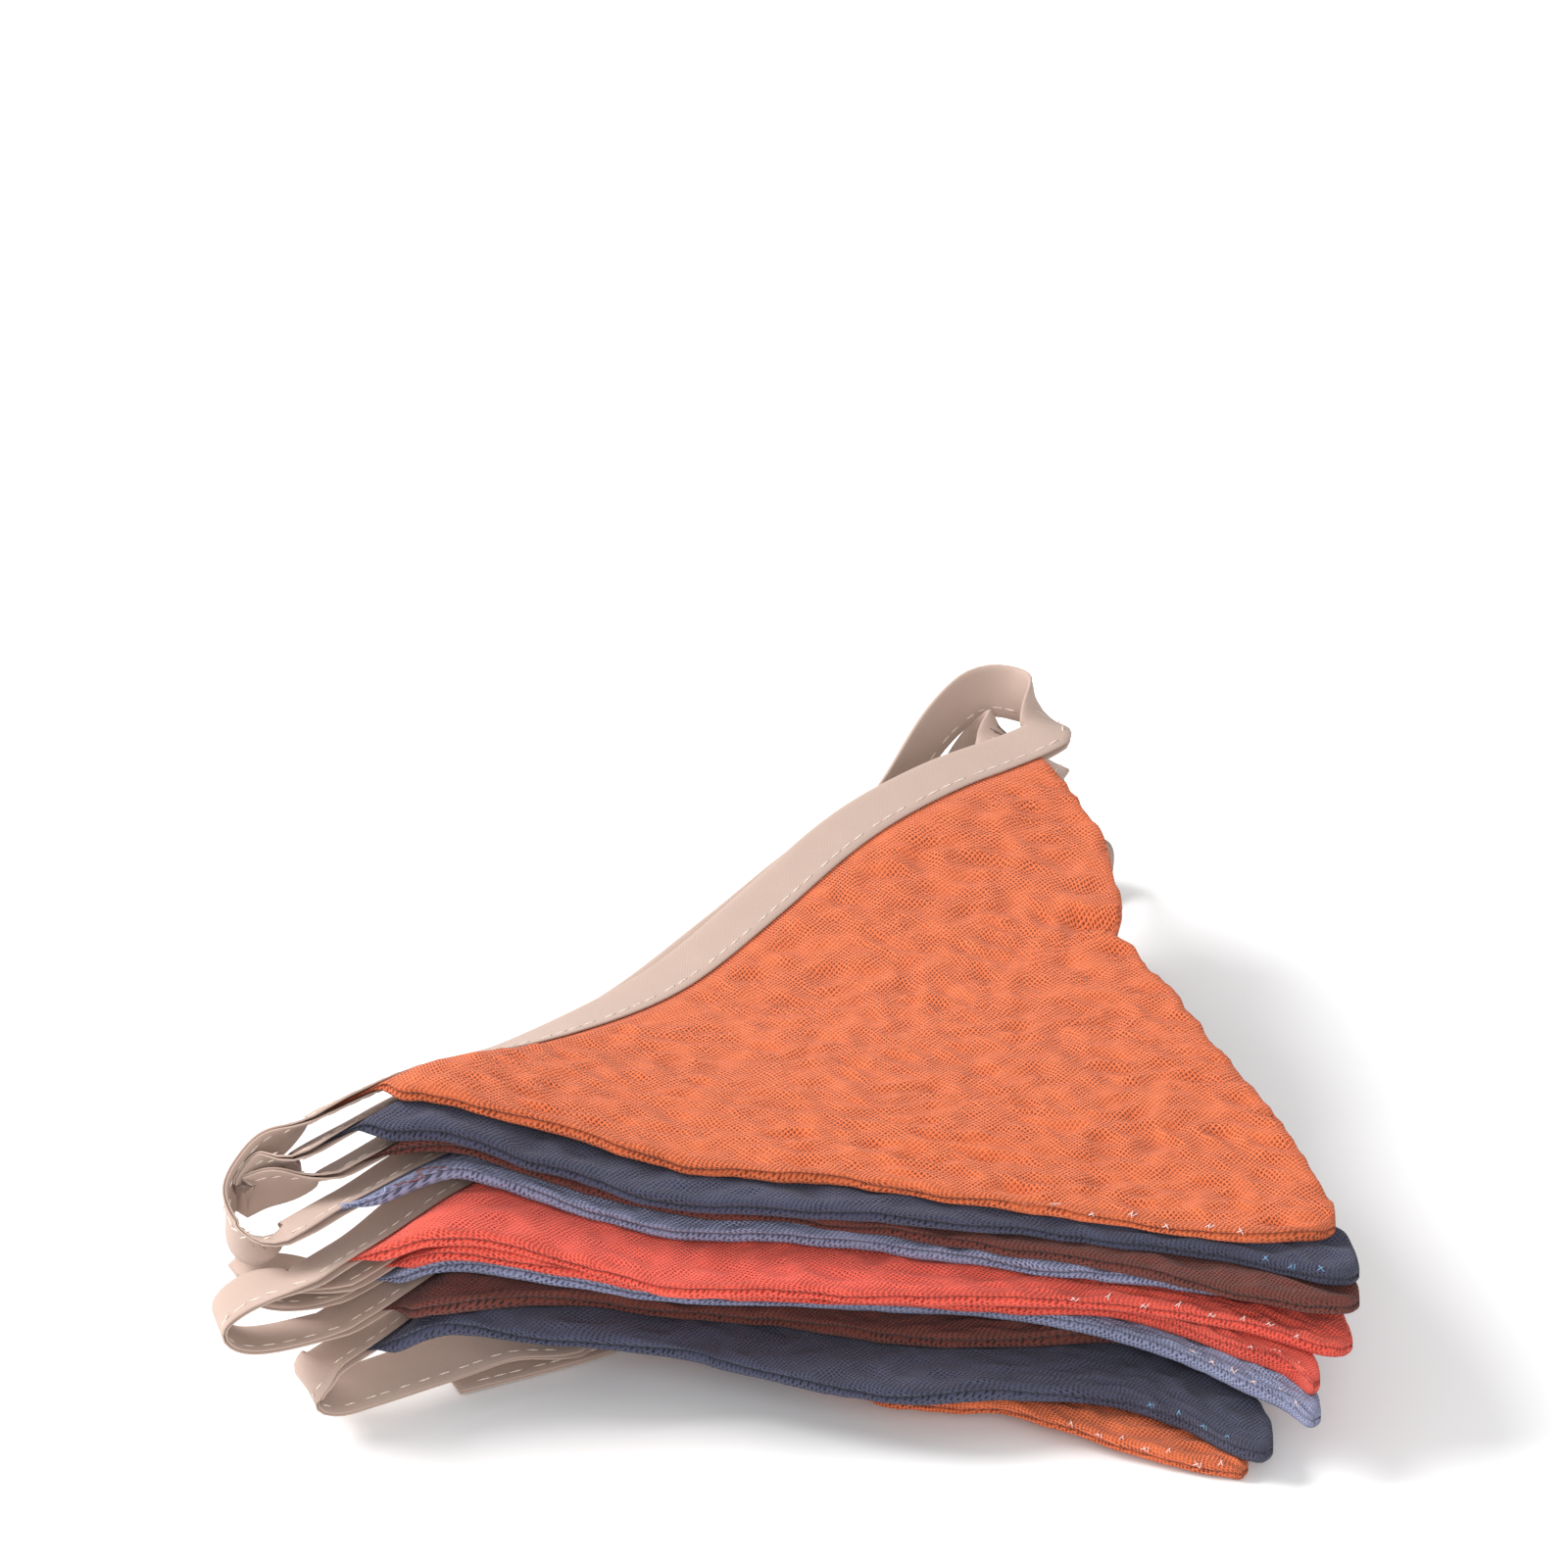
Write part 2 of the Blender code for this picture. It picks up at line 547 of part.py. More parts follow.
def build_tape(material, collection):
    """The binding tape: one folded section carried along the whole string."""
    stations = tape_stations()
    body = bmesh.new()
    rings = []
    for k, (centre, width_way, slot) in enumerate(stations):
        before = stations[max(k - 1, 0)][0]
        after = stations[min(k + 1, len(stations) - 1)][0]
        along = (after - before).normalized()
        across = width_way
        if slot == SLOT_CLOSED:
            across = (width_way - along * width_way.dot(along)).normalized()
        normal = along.cross(across).normalized()
        corners = section(centre, across, normal, slot)
        rings.append([body.verts.new(MM * (p - Vector((CENTRE_X, CENTRE_Y, 0.0)))) for p in corners])
    sides = len(rings[0])
    for one, two in zip(rings, rings[1:]):
        for j in range(sides):
            a, b, c, d = one[j], one[(j + 1) % sides], two[(j + 1) % sides], two[j]
            towards_fold = j in (1, 2, 3)
            body.faces.new((a, b, c) if towards_fold else (a, b, d))
            body.faces.new((a, c, d) if towards_fold else (b, c, d))
    for ring in (rings[0], rings[-1]):
        body.faces.new((ring[0], ring[1], ring[4], ring[5]))
        body.faces.new((ring[1], ring[2], ring[3], ring[4]))
        body.faces.new((ring[0], ring[5], ring[6], ring[7]))
    return add_object("binding_tape", body, material, collection)


def main():
    """Build the tape and its ten pennants."""
    for thing in list(bpy.data.objects):
        bpy.data.objects.remove(thing, do_unlink=True)
    collection = make_collection("Fabric bunting")
    materials = {name: make_material(name) for name in COLOURS}
    for row, pennant in enumerate(PENNANTS):
        build_pennant(row, materials[pennant[1]], collection)
    build_tape(materials["beige"], collection)


main()
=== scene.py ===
"""Looks of the folded fabric bunting: crinkled gauze pennants on one sewn binding tape."""

import functools
import math

import bmesh
import bpy
import numpy as np
from mathutils import Matrix, Vector, noise


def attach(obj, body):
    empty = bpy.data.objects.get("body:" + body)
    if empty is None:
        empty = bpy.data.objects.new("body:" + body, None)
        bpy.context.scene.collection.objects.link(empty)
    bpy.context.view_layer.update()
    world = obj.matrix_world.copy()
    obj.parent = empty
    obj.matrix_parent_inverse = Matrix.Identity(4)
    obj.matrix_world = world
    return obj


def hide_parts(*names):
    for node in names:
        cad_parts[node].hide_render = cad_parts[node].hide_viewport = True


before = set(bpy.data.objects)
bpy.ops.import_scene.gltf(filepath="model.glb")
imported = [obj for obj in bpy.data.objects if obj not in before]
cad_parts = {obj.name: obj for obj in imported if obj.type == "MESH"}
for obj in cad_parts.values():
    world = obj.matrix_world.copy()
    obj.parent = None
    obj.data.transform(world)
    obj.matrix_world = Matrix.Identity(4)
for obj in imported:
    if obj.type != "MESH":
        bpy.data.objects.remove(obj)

bl_info = {
    "name": "Folded fabric bunting",
    "version": (1, 0, 0),
    "blender": (4, 5, 0),
    "location": "3D View > Sidebar > Bunting",
    "description": "Builds a folded string of gauze pennants with its tape, its sewing and its stage",
    "category": "Object",
}

MM = 0.001
UP = np.array((0.0, 0.0, 1.0))

# Sizes of the cut pieces, in millimetres
TOP_EDGE = 180.0
TIP_WIDTH = 9.0
TIP_ROUNDING = 6.0
TAPE_WIDTH = 10.0
TAPE_LEAN_SPAN = 30.0
CLOTH_IN_TAPE = 8.0
TAPE_RUN_ON = 0.008
HEM_COLUMN = 0.018
HEM_BLEND = (0.05, 0.12)
HEM_SOLVE_STEPS = 5
LOWER_PENNANTS_IN = 0.35

# Shift that brings the middle of the stack's footprint to the origin, in millimetres
CENTRE = np.array((0.7, 50.3, 0.0))

# One row a pennant, top of the stack first
PENNANTS = [
    # name, colour, A x, A y, C x, C y, edge angle, height share
    ("pennant_01_orange", "orange", -84.7, -2.5, 95, -27, 44.1, 1.000),
    ("pennant_02_navy", "navy", -87.9, -8.7, 99, -35, 46.9, 0.910),
    ("pennant_03_brown", "brown", -82.9, -9.7, 99, -38, 46.4, 0.820),
    ("pennant_04_lavender", "lavender", -88.9, -21.7, 99, -28, 46.9, 0.730),
    ("pennant_05_coral", "coral", -87.1, -27.9, 98, -40, 48.9, 0.635),
    ("pennant_06_coral", "coral", -80.9, -22.8, 92, -47, 47.4, 0.540),
    ("pennant_07_lavender", "lavender", -82.8, -20.6, 92, -51, 45.4, 0.445),
    ("pennant_08_brown", "brown", -82, -25.8, 85, -36, 47.9, 0.350),
    ("pennant_09_navy", "navy", -84, -28.9, 84, -51, 48.4, 0.240),
    ("pennant_10_orange", "orange", -43, -9, 80, -51, 58.0, 0.0),
]

# Places along X where the front hems are given, in millimetres
HEM_X = (-80, -60, -40, -20, 0, 20, 40, 60, 80, 98)

# How far forward each front hem lies at those places, a row for each pennant
HEM_Y = [
    (-7, -9, -11, -15, -17, -19.5, -22, -24.5, -28, -27),
    (-13, -14, -17, -21, -22, -24, -24, -26, -29, -35),
    (-14, -11, -14, -17.5, -19, -23, -25.5, -28.5, -35, -38),
    (-22, -14, -16, -20, -20, -23, -25, -27, -29, -28),
    (-30, -27.5, -28, -33, -32, -33, -31, -30, -34, -40),
    (-27, -26, -26, -27, -28, -28, -28, -27, -37, -50),
    (-25, -24, -24, -24, -24, -24.5, -25, -29.5, -42, -53),
    (-30, -31, -25, -24, -25.5, -29.5, -28.5, -24, -33, -40),
    (-33, -31, -32, -30.5, -37.5, -42, -39, -38, -50, -56),
    (-9, -9, -10, -11, -18, -32, -36, -44.5, -51, -54),
]

# How high the middle of each front hem lies at those places
HEM_Z = [
    (47.5, 51.5, 48.2, 43, 41.7, 40.6, 38.4, 36.7, 36, 36),
    (43.1, 46.9, 42.7, 38.5, 37.6, 37.1, 35, 33.2, 32.4, 32),
    (39.4, 42.45, 38.8, 35, 34.2, 33.6, 31.6, 29.8, 28.8, 28),
    (36, 39.7, 35.6, 31.6, 30.8, 30, 28.2, 26.4, 25.2, 24.2),
    (29.5, 35, 31.5, 28, 27.2, 26.4, 24.7, 23, 21.6, 20.2),
    (25.5, 31.2, 28.1, 24.5, 23.6, 22.8, 21.2, 19.4, 17.8, 16.4),
    (22, 27.1, 24.4, 20.9, 20, 19.2, 17.8, 15.8, 13.6, 12.2),
    (18.5, 23.4, 20.8, 17.4, 16.5, 15.6, 14.4, 12.2, 9.8, 8.6),
    (12, 18.6, 17.5, 14, 12.6, 11.8, 10.6, 8.2, 5.8, 5.0),
    (1.2, 1.2, 1.2, 1.2, 1.2, 3.0, 4.6, 2.4, 1.2, 1.2),
]

# Height of the top pennant along its taped edge and along its far side, from the front to corner B
BACK_STEPS = (0.0, 0.15, 0.3, 0.45, 0.6, 0.75, 0.88, 1.0)
TAPED_EDGE_Z = (47.5, 46.0, 42.5, 41.5, 45.0, 49.5, 51.0, 50.0)
FAR_SIDE_Z = (37.0, 38.5, 40.5, 42.0, 43.5, 45.5, 48.0, 50.0)
# How far those two sides lie in from a straight line, top pennant, in millimetres
TAPED_EDGE_IN = (0.0, 1.0, 3.0, 3.5, 0.5, -2.5, -2.0, 0.0)
FAR_SIDE_IN = (0.0, 0.5, 2.5, 4.0, 6.0, -1.5, -0.5, 0.0)

# The footprint that all heights are read on
FRONT_LEFT = np.array((-80.0, -15.0))
FRONT_RIGHT = np.array((95.0, -38.0))
BACK_CORNER = np.array((44.0, 122.0))
FRONT_FADE = 0.3
BACK_SPREAD = 0.12

# The tail runs under the bottom pennant, which arches over it
TAIL_BED = [(11, 96), (12, 88), (14, 70), (13, 50), (6, 31), (-8, 12), (-30, -6), (-62, -22)]
ARCH_HEIGHT = 2.8
ARCH_FLAT = 8.0
ARCH_SHOULDER = 14.0
LOWEST_MIDDLE = 1.2

# How steeply each tape leans at corner A, where it rolls down towards the back of the stack
TAPE_ROLL = (0.66, 0.6, 0.46, 0.3, 0.15, 0.04, 0.0, 0.0, 0.0, 0.0)
ROLL_ENDS = (0.06, 0.48)
ROLL_FADE = 26.0

# Order in which the string visits the stack, and the corner that each visit starts at
STRING_ORDER = (
    (0, "B"), (3, "A"), (4, "B"), (7, "A"), (8, "B"),
    (9, "A"), (6, "B"), (5, "A"), (2, "B"), (1, "A"),
)

# Free stretches of tape: middle of the tape and the way its lips face, in millimetres
FIRST_TAIL = [
    # x, y, z, lips x, lips y, lips z
    (-56, 38, 5.4, 0.1, -0.1, -1),
    (-42, 52, 5.4, 0.1, -0.1, -1),
    (-25, 70, 6.5, 0.1, -0.1, -1),
    (-8, 88, 13, 0.1, -0.1, -1),
    (8, 106, 24, 0.1, -0.1, -1),
    (20, 120, 36, 0.05, -0.1, -1),
    (29, 131, 45.5, 0, -0.2, -1),
    (37, 137, 49.5, 0, -0.3, -1),
    (44, 136, 49.5, 0.2, -0.5, -0.85),
    (48, 129.5, 50, 0.5, -0.7, -0.4),
]
LOOPS = [
    [(-92.5, -9.5, 41.5, 0.2, -0.1, 0.97), (-98, -16, 35, 0, 0, 1), (-95.5, -22.5, 31, 0, -0.3, 0.95)],
    [(39.5, 120, 35.8, 0.7, -0.7, 0), (41.5, 125.2, 33.2, 0.75, -0.65, 0), (37.5, 119.5, 30.8, 0.7, -0.7, 0)],
    [(-94, -33, 28, 0.3, -0.9, -0.05), (-99.4, -35.5, 23.4, 0.2, -1, 0), (-95, -35, 19, 0.3, -0.9, 0.1)],
    [(50, 120, 15.5, 0.7, -0.7, 0), (52, 123, 12.4, 0.7, -0.7, 0), (48, 118, 9.8, 0.7, -0.7, 0)],
    [(-84.5, -32, 7, 0.4, -0.9, -0.1), (-81, -32, 4.9, 0.35, -0.9, -0.2), (-74, -28.5, 5.2, 0.3, -0.9, -0.3),
     (-59, -19.5, 5.2, 0.35, -0.85, -0.35), (-49, -14, 4.9, 0.5, -0.8, -0.2)],
    [(58, 146, 2.6, 0.8, -0.5, 0), (59, 149.5, 8, 0.8, -0.5, 0), (56, 143, 14.5, 0.75, -0.6, 0),
     (51, 125, 19.5, 0.7, -0.7, 0)],
    [(-92.5, -20.5, 20.4, 0.5, -0.8, 0), (-97, -20, 22, 0.4, -0.9, 0), (-92.5, -20.5, 23.6, 0.5, -0.8, 0)],
    [(48, 120, 26, 0.65, -0.75, 0), (50, 131, 28, 0.55, -0.8, 0), (49, 136, 33.5, 0.55, -0.8, 0),
     (49.3, 131, 38, 0.6, -0.75, 0)],
    [(-92, -13, 36.5, 0.3, -0.2, 0.93), (-96.5, -14.5, 35, 0.1, 0, 1), (-92, -11.5, 38.5, 0.2, -0.1, 0.97)],
]
SECOND_TAIL = [
    (41.5, 126, 46.9, 0.6, -0.7, -0.2),
    (38.9, 130.9, 42.6, 0.25, -0.4, -0.88),
    (33.2, 128.9, 34.8, 0.1, -0.2, -1),
    (27, 125, 28, 0.1, -0.1, -1),
    (19, 118, 19, 0.25, -0.1, -0.95),
    (13, 113, 12, 0.5, 0, -0.85),
    (10.5, 104, 4.6, 0.85, 0.1, -0.5),
    (11, 94, 1.3, 0.99, 0.12, 0),
    (13, 80, 1.1, 0.995, 0.1, 0),
    (14, 60, 1.1, 0.99, -0.12, 0),
    (8, 36, 1.1, 0.9, -0.44, 0),
    (-8, 12, 1.1, 0.75, -0.66, 0),
    (-32, -7.5, 1.1, 0.55, -0.83, 0),
    (-60, -21, 1.1, 0.4, -0.92, 0),
]

# Places of the camera and the lights, in metres
VIEW_MIDDLE = 0.0958
LENS = 230.5
SURROUND_STRENGTH = 0.7
STUDIO_LIGHTS = [
    # name, place, size, energy
    ("key light", (-1.3, 0.3, 1.1), 1.0, 37.0),
    ("front light", (0.2, -1.6, 0.9), 1.2, 14.0),
]

# Fine steps of the tape and its slot, in millimetres
TAPE_STEP = 1.6
TAPE_CLOSED = 0.16
TAPE_OPEN = 1.0
FROM_LIPS = 1.8
LIP_ROUNDING = 0.25
LIP_INSET = 0.2
FOLD_REACH = 1.2
WALL_POINTS = 7
FOLD_ANGLES = (60, 30, 0, -30, -60)
# Over how many steps the slot, the middle line and the turn of the free tape are evened out
SLOT_EVENING = 7
LINE_EVENING = 7
TURN_EVENING = 11

# What shows between the threads: the pennant's inner layer, painted darker as painted shade
GAP_SHADE_COLOURS = {
    "orange": (0.22, 0.03, 0.008),
    "navy": (0.006, 0.006, 0.014),
    "brown": (0.018, 0.004, 0.003),
    "lavender": (0.065, 0.067, 0.12),
    "coral": (0.32, 0.016, 0.01),
}

# Columns and row spacing of a pennant's grid
TOP_GRID = (150, 0.95)
LOWER_GRID = (34, 0.85)

# Rows of the grid nearest the taped edge, and how finely the rounded tip is divided
FIRST_ROWS = [TAPE_WIDTH - CLOTH_IN_TAPE, 3.0, 6.0, 9.0, TAPE_WIDTH, 10.6, 11.3, 12.1, 13.0, 14.0]
TIP_STEPS = 7

# Half thickness of a pennant in its tape and out of it, and the room left to its neighbours
TAPED_HALF = 0.38
TOP_HALF = 1.3
ROOM_HALF = 0.16
HALF_LIMITS = (0.5, 2.0)
LEAVES_TAPE = 3.5

# Section of a turned hem, from its seam in the middle up to the flat cloth
RIM_ANGLES = (-90, -66, -42, -18, 6, 30, 56, 90)
SEAM_DEPTH = 0.55
HEM_ROUNDING = 1.5
NOMINAL_HALF = 1.7

# Distances from the taped edge at which the cloth leaves the tape's slope and its crinkles begin
BLENDS_OUT = (TAPE_WIDTH - 0.5, TAPE_WIDTH + 7.0)
CRINKLES_START = (TAPE_WIDTH + 0.5, TAPE_WIDTH + 6.0)

# The lower pennants' columns crowd to their front hems; hollows of the crinkles reach the underside less
LOWER_CROWDING = 1.6
UNDERSIDE_LIFT = 0.3
FLOOR_CLEARANCE = 0.02

# How both sloping sides wander: wavelength, amount and noise seed, then where that starts and ends
HEM_RIPPLES = ((8.0, 1.15, 2.0), (3.2, 0.4, 4.0))
RIPPLE_START = 6.0
RIPPLE_END = 8.0

# How the seam wanders up and down in a hem: wavelength, amount and resting height
SEAM_WANDER = (20.0, 0.9, 0.2)

# Crinkles of the gauze: length in the way of the front hem, width, noise seed, height
BUBBLES = (8.0, 4.0, 0.0, 0.42)
FINE_CRINKLES = (4.6, 2.1, 5.0, 0.8)
BROAD_CRINKLES = (30.0, 13.0, 9.0, 0.3)
CRINKLE_WANDER = (24.0, 24.0, 3.0, 3.0)
BUBBLE_CREST = 1.1
BUBBLE_SHARPNESS = 4.4
LOWER_CRINKLES = 0.85

# The fold that runs in from the top pennant's far side, in the working frame, and the row it starts at
NOTCH_FROM = (60.0, 61.0)
NOTCH_TO = (44.0, 63.0)
NOTCH_ROW = 58.0

# Bells that shape the top pennant: height, place, width
FOLD_BELLS = ((1.1, 4.6, 2.2), (-2.0, 0.0, 2.0))
RIDGE_BELLS = ((1.0, 4.0, 2.3), (-0.9, 9.0, 2.2))
NOTCH_BELLS = ((2.4, 0.0, 2.6), (-1.4, -9.0, 5.0))
RIDGE_HEIGHT = 0.75
RIDGE_FADES_IN = (-30.0, 20.0)

# Where small hand stitches close each hem: row, first and last distance from the tip, how many, thread
WHIP_STITCHES = [
    (0, 9.0, 36.0, 6, "pale"),
    (1, 4.0, 13.0, 3, "blue"),
    (4, 7.0, 42.0, 8, "pale"),
    (5, 5.0, 14.0, 3, "pale"),
    (6, 4.0, 26.0, 6, "pale"),
    (8, 6.0, 22.0, 4, "blue"),
    (9, 3.0, 30.0, 7, "pale"),
]

# Turn of each strand of a hand stitch from its hem in degrees, and its shift along the hem
WHIP_STRANDS = ((50, -0.1), (125, 0.1), (70, 0.6))
WHIP_LENGTH = 0.0015
WHIP_WIDTH = 0.0002
TAPE_THREAD = (0.80, 0.69, 0.60)
HEM_THREADS = {"pale": (0.86, 0.62, 0.58), "blue": (0.16, 0.33, 0.50)}

# Threads that came loose on a hem: row, first and last X of the thread, how far it bows, colour
LOOSE_THREADS = [
    (3, -68.0, -60.0, 4.0, "brown"),
    (3, -79.0, -75.0, 2.5, "lavender"),
    (3, -76.0, -70.0, -2.0, "lavender"),
]
LOOSE_COLUMN = 5
LOOSE_PIECES = 16
LOOSE_LIFT = np.array((0.0, -0.3, 0.35))
LOOSE_BOW = np.array((0.0, -0.25, 0.2))
LOOSE_OUTWARD = np.array((0.0, -0.5, 0.86))
LOOSE_LENGTH = 0.0013
LOOSE_WIDTH = 0.0003

# The pale floor, in metres
FLOOR_HALF = 6.0
FLOOR_HEIGHT = -0.0002


def smooth_step(low, high, value):
    """Ease from 0 at low to 1 at high."""
    share = np.clip((value - low) / (high - low), 0.0, 1.0)
    return share * share * (3.0 - 2.0 * share)


def smooth_join(start, leaving, end, arriving, t):
    """Smooth curve from start to end with these slopes, at shares t of the way."""
    return (start * (2 * t**3 - 3 * t**2 + 1) + leaving * (t**3 - 2 * t**2 + t)
            + end * (3 * t**2 - 2 * t**3) + arriving * (t**3 - t**2))


def read_curve(places, values, at):
    """Read a smooth curve through a row of values, flat beyond both ends."""
    x = np.array(places, dtype=float)
    y = np.array(values, dtype=float)
    at = np.clip(at, x[0], x[-1])
    slope = np.zeros_like(y)
    slope[1:-1] = (y[2:] - y[:-2]) / (x[2:] - x[:-2])
    k = np.clip(np.searchsorted(x, at, side="right") - 1, 0, len(x) - 2)
    width = x[k + 1] - x[k]
    t = (at - x[k]) / width
    return smooth_join(y[k], slope[k] * width, y[k + 1], slope[k + 1] * width, t)


def lumps(x, y, seed):
    """Smooth noise from about -1 to 1 at every pair of coordinates."""
    flat = np.array([noise.noise(Vector((a, b, seed))) for a, b in zip(np.ravel(x), np.ravel(y))])
    return flat.reshape(np.shape(x))


def unit(vectors):
    """Vectors of length one."""
    return vectors / np.linalg.norm(vectors, axis=-1, keepdims=True)


def lengths_along(points):
    """Distance from the first point to each point of a line, along it."""
    return np.concatenate(((0.0,), np.cumsum(np.linalg.norm(np.diff(points, axis=0), axis=1))))


def bells(distance, table, shift=0.0):
    """Sum of smooth bells, each with a height, a place and a width."""
    return sum(height * np.exp(-((distance - place - shift) / width)**2) for height, place, width in table)


def footprint_place(x, y):
    """Share towards corner B and share from left to right, on the shared footprint."""
    front = FRONT_RIGHT - FRONT_LEFT
    side = BACK_CORNER - FRONT_LEFT
    px, py = x - FRONT_LEFT[0], y - FRONT_LEFT[1]
    area = front[0] * side[1] - front[1] * side[0]
    back = (front[0] * py - front[1] * px) / area
    right = (px * side[1] - py * side[0]) / area
    across = right / np.maximum(1.0 - back, BACK_SPREAD)
    return np.clip(back, 0.0, 1.0), np.clip(across, 0.0, 1.0)


def from_stretch(x, y, start, end):
    """Distance to a straight stretch, and the share along it where it comes nearest."""
    way_x, way_y = end[0] - start[0], end[1] - start[1]
    share = ((x - start[0]) * way_x + (y - start[1]) * way_y) / (way_x**2 + way_y**2)
    share = np.clip(share, 0.0, 1.0)
    return np.hypot(x - start[0] - way_x * share, y - start[1] - way_y * share), share


def arch_over_tail(x, y):
    """Rise of the bottom pennant over the tail beneath it."""
    away = np.full(np.shape(x), np.inf)
    for one, two in zip(TAIL_BED, TAIL_BED[1:]):
        away = np.minimum(away, from_stretch(x, y, one, two)[0])
    return ARCH_HEIGHT * (1.0 - smooth_step(ARCH_FLAT, ARCH_SHOULDER + ARCH_FLAT, away))


def middle_height(row, x, y):
    """Height of a pennant's middle surface above places on the footprint."""
    back, across = footprint_place(x, y)
    front_z = read_curve(HEM_X, HEM_Z[row], x)
    share = PENNANTS[row][7]
    if share:
        behind = (1.0 - across) * read_curve(BACK_STEPS, TAPED_EDGE_Z, back)
        behind += across * read_curve(BACK_STEPS, FAR_SIDE_Z, back)
        back_z = behind * share
    else:
        back_z = LOWEST_MIDDLE
    fade = smooth_step(0.0, FRONT_FADE, back)
    height = front_z * (1.0 - fade) + back_z * fade
    if not share:
        height = np.maximum(height, LOWEST_MIDDLE) + arch_over_tail(x, y)
    return height


def corner(row, letter):
    """Plan position of corner A, B or C of a pennant."""
    a = np.array(PENNANTS[row][2:4], dtype=float)
    if letter == "A":
        return a
    if letter == "C":
        return np.array(PENNANTS[row][4:6], dtype=float)
    angle = math.radians(PENNANTS[row][6])
    return a + TOP_EDGE * np.array((math.cos(angle), math.sin(angle)))


def edge_ways(row):
    """Direction of the taped edge from A to B, and the way into the cloth from it."""
    edge = unit(corner(row, "B") - corner(row, "A"))
    return edge, np.array((edge[1], -edge[0]))


def side_length(row):
    """Distance from the taped edge to the tip, square to the edge."""
    inward = edge_ways(row)[1]
    return float(np.dot(corner(row, "C") - corner(row, "A"), inward))


def plan_point(row, across, down):
    """Plan points of a pennant: across from corner A to B, down from the taped edge to the tip."""
    a, b, c = (corner(row, letter) for letter in "ABC")
    edge, inward = edge_ways(row)
    depth_in = 1.0 if row == 0 else LOWER_PENNANTS_IN
    down = down[..., None]
    across = across[..., None]
    left = a + (c - edge * TIP_WIDTH / 2 - a) * down
    right = b + (c + edge * TIP_WIDTH / 2 - b) * down
    slide = np.zeros(left.shape[:-1])
    for _ in range(HEM_SOLVE_STEPS):
        reached = left + edge * slide[..., None]
        slide += (read_curve(HEM_X, HEM_Y[row], reached[..., 0]) - reached[..., 1]) / edge[1]
    clear_of_tape = smooth_step(*HEM_BLEND, down)
    point = left + (right - left) * across
    point = point + edge * slide[..., None] * clear_of_tape * (1.0 - across)**2
    point = point - edge * depth_in * read_curve(BACK_STEPS, FAR_SIDE_IN, 1.0 - down) * across**2
    return point + inward * depth_in * read_curve(BACK_STEPS, TAPED_EDGE_IN, across) * (1.0 - down)


def roll(row, across):
    """How steeply a pennant's tape rises towards its lips, most at corner A."""
    return TAPE_ROLL[row] * (1.0 - smooth_step(*ROLL_ENDS, across))


def surface_height(row, x, y, distance):
    """Height of a pennant's middle surface, lifted where its tape rolls down behind it."""
    edge = edge_ways(row)[0]
    a = corner(row, "A")
    along = ((x - a[0]) * edge[0] + (y - a[1]) * edge[1]) / TOP_EDGE
    fade = 1.0 - smooth_step(TAPE_WIDTH, TAPE_WIDTH + ROLL_FADE, distance)
    return middle_height(row, x, y) + roll(row, along) * TAPE_WIDTH / 2 * fade


def tape_frame(row, across):
    """Fold line points of the tape on a pennant's top edge, and the way its lips face."""
    a, b = corner(row, "A"), corner(row, "B")
    inward = edge_ways(row)[1]
    bow = (1.0 if row == 0 else LOWER_PENNANTS_IN) * read_curve(BACK_STEPS, TAPED_EDGE_IN, across)
    fold = a + (b - a) * across[..., None] + inward * bow[..., None]
    further = fold + inward * TAPE_LEAN_SPAN
    fold, further = (
        np.concatenate((plan, middle_height(row, plan[..., 0], plan[..., 1])[..., None]), axis=-1)
        for plan in (fold, further))
    flat_way = unit(further - fold)
    way = unit(flat_way + UP * roll(row, across)[..., None])
    return fold + (flat_way - way) * TAPE_WIDTH / 2, way


def rim_profile():
    """Inset, rise share and length along the section of a turned hem."""
    angle = np.radians(RIM_ANGLES)
    rounding = np.where(angle < 0.0, SEAM_DEPTH, HEM_ROUNDING)
    inset = rounding * (1.0 - np.cos(angle))
    rise = (1.0 + np.sin(angle)) / 2
    steps = np.hypot(np.diff(inset), np.diff(rise) * NOMINAL_HALF)
    arc = np.concatenate((np.cumsum(steps[::-1])[::-1], (0.0,)))
    return inset, rise, arc


def mesh_from_grid(name, points, faces):
    """Mesh object from points in millimetres in the working frame."""
    mesh = bpy.data.meshes.new(name)
    mesh.from_pydata(((points - CENTRE) * MM).tolist(), [], faces.tolist())
    mesh.shade_smooth()
    thing = bpy.data.objects.new(name, mesh)
    bpy.context.scene.collection.objects.link(thing)
    return thing


def store(thing, name, values):
    """Keep a number or a vector for every vertex."""
    values = np.asarray(values, dtype=np.float32)
    kind = "FLOAT" if values.ndim == 1 else "FLOAT_VECTOR"
    attribute = thing.data.attributes.new(name, kind, "POINT")
    attribute.data.foreach_set("value" if values.ndim == 1 else "vector", values.ravel())


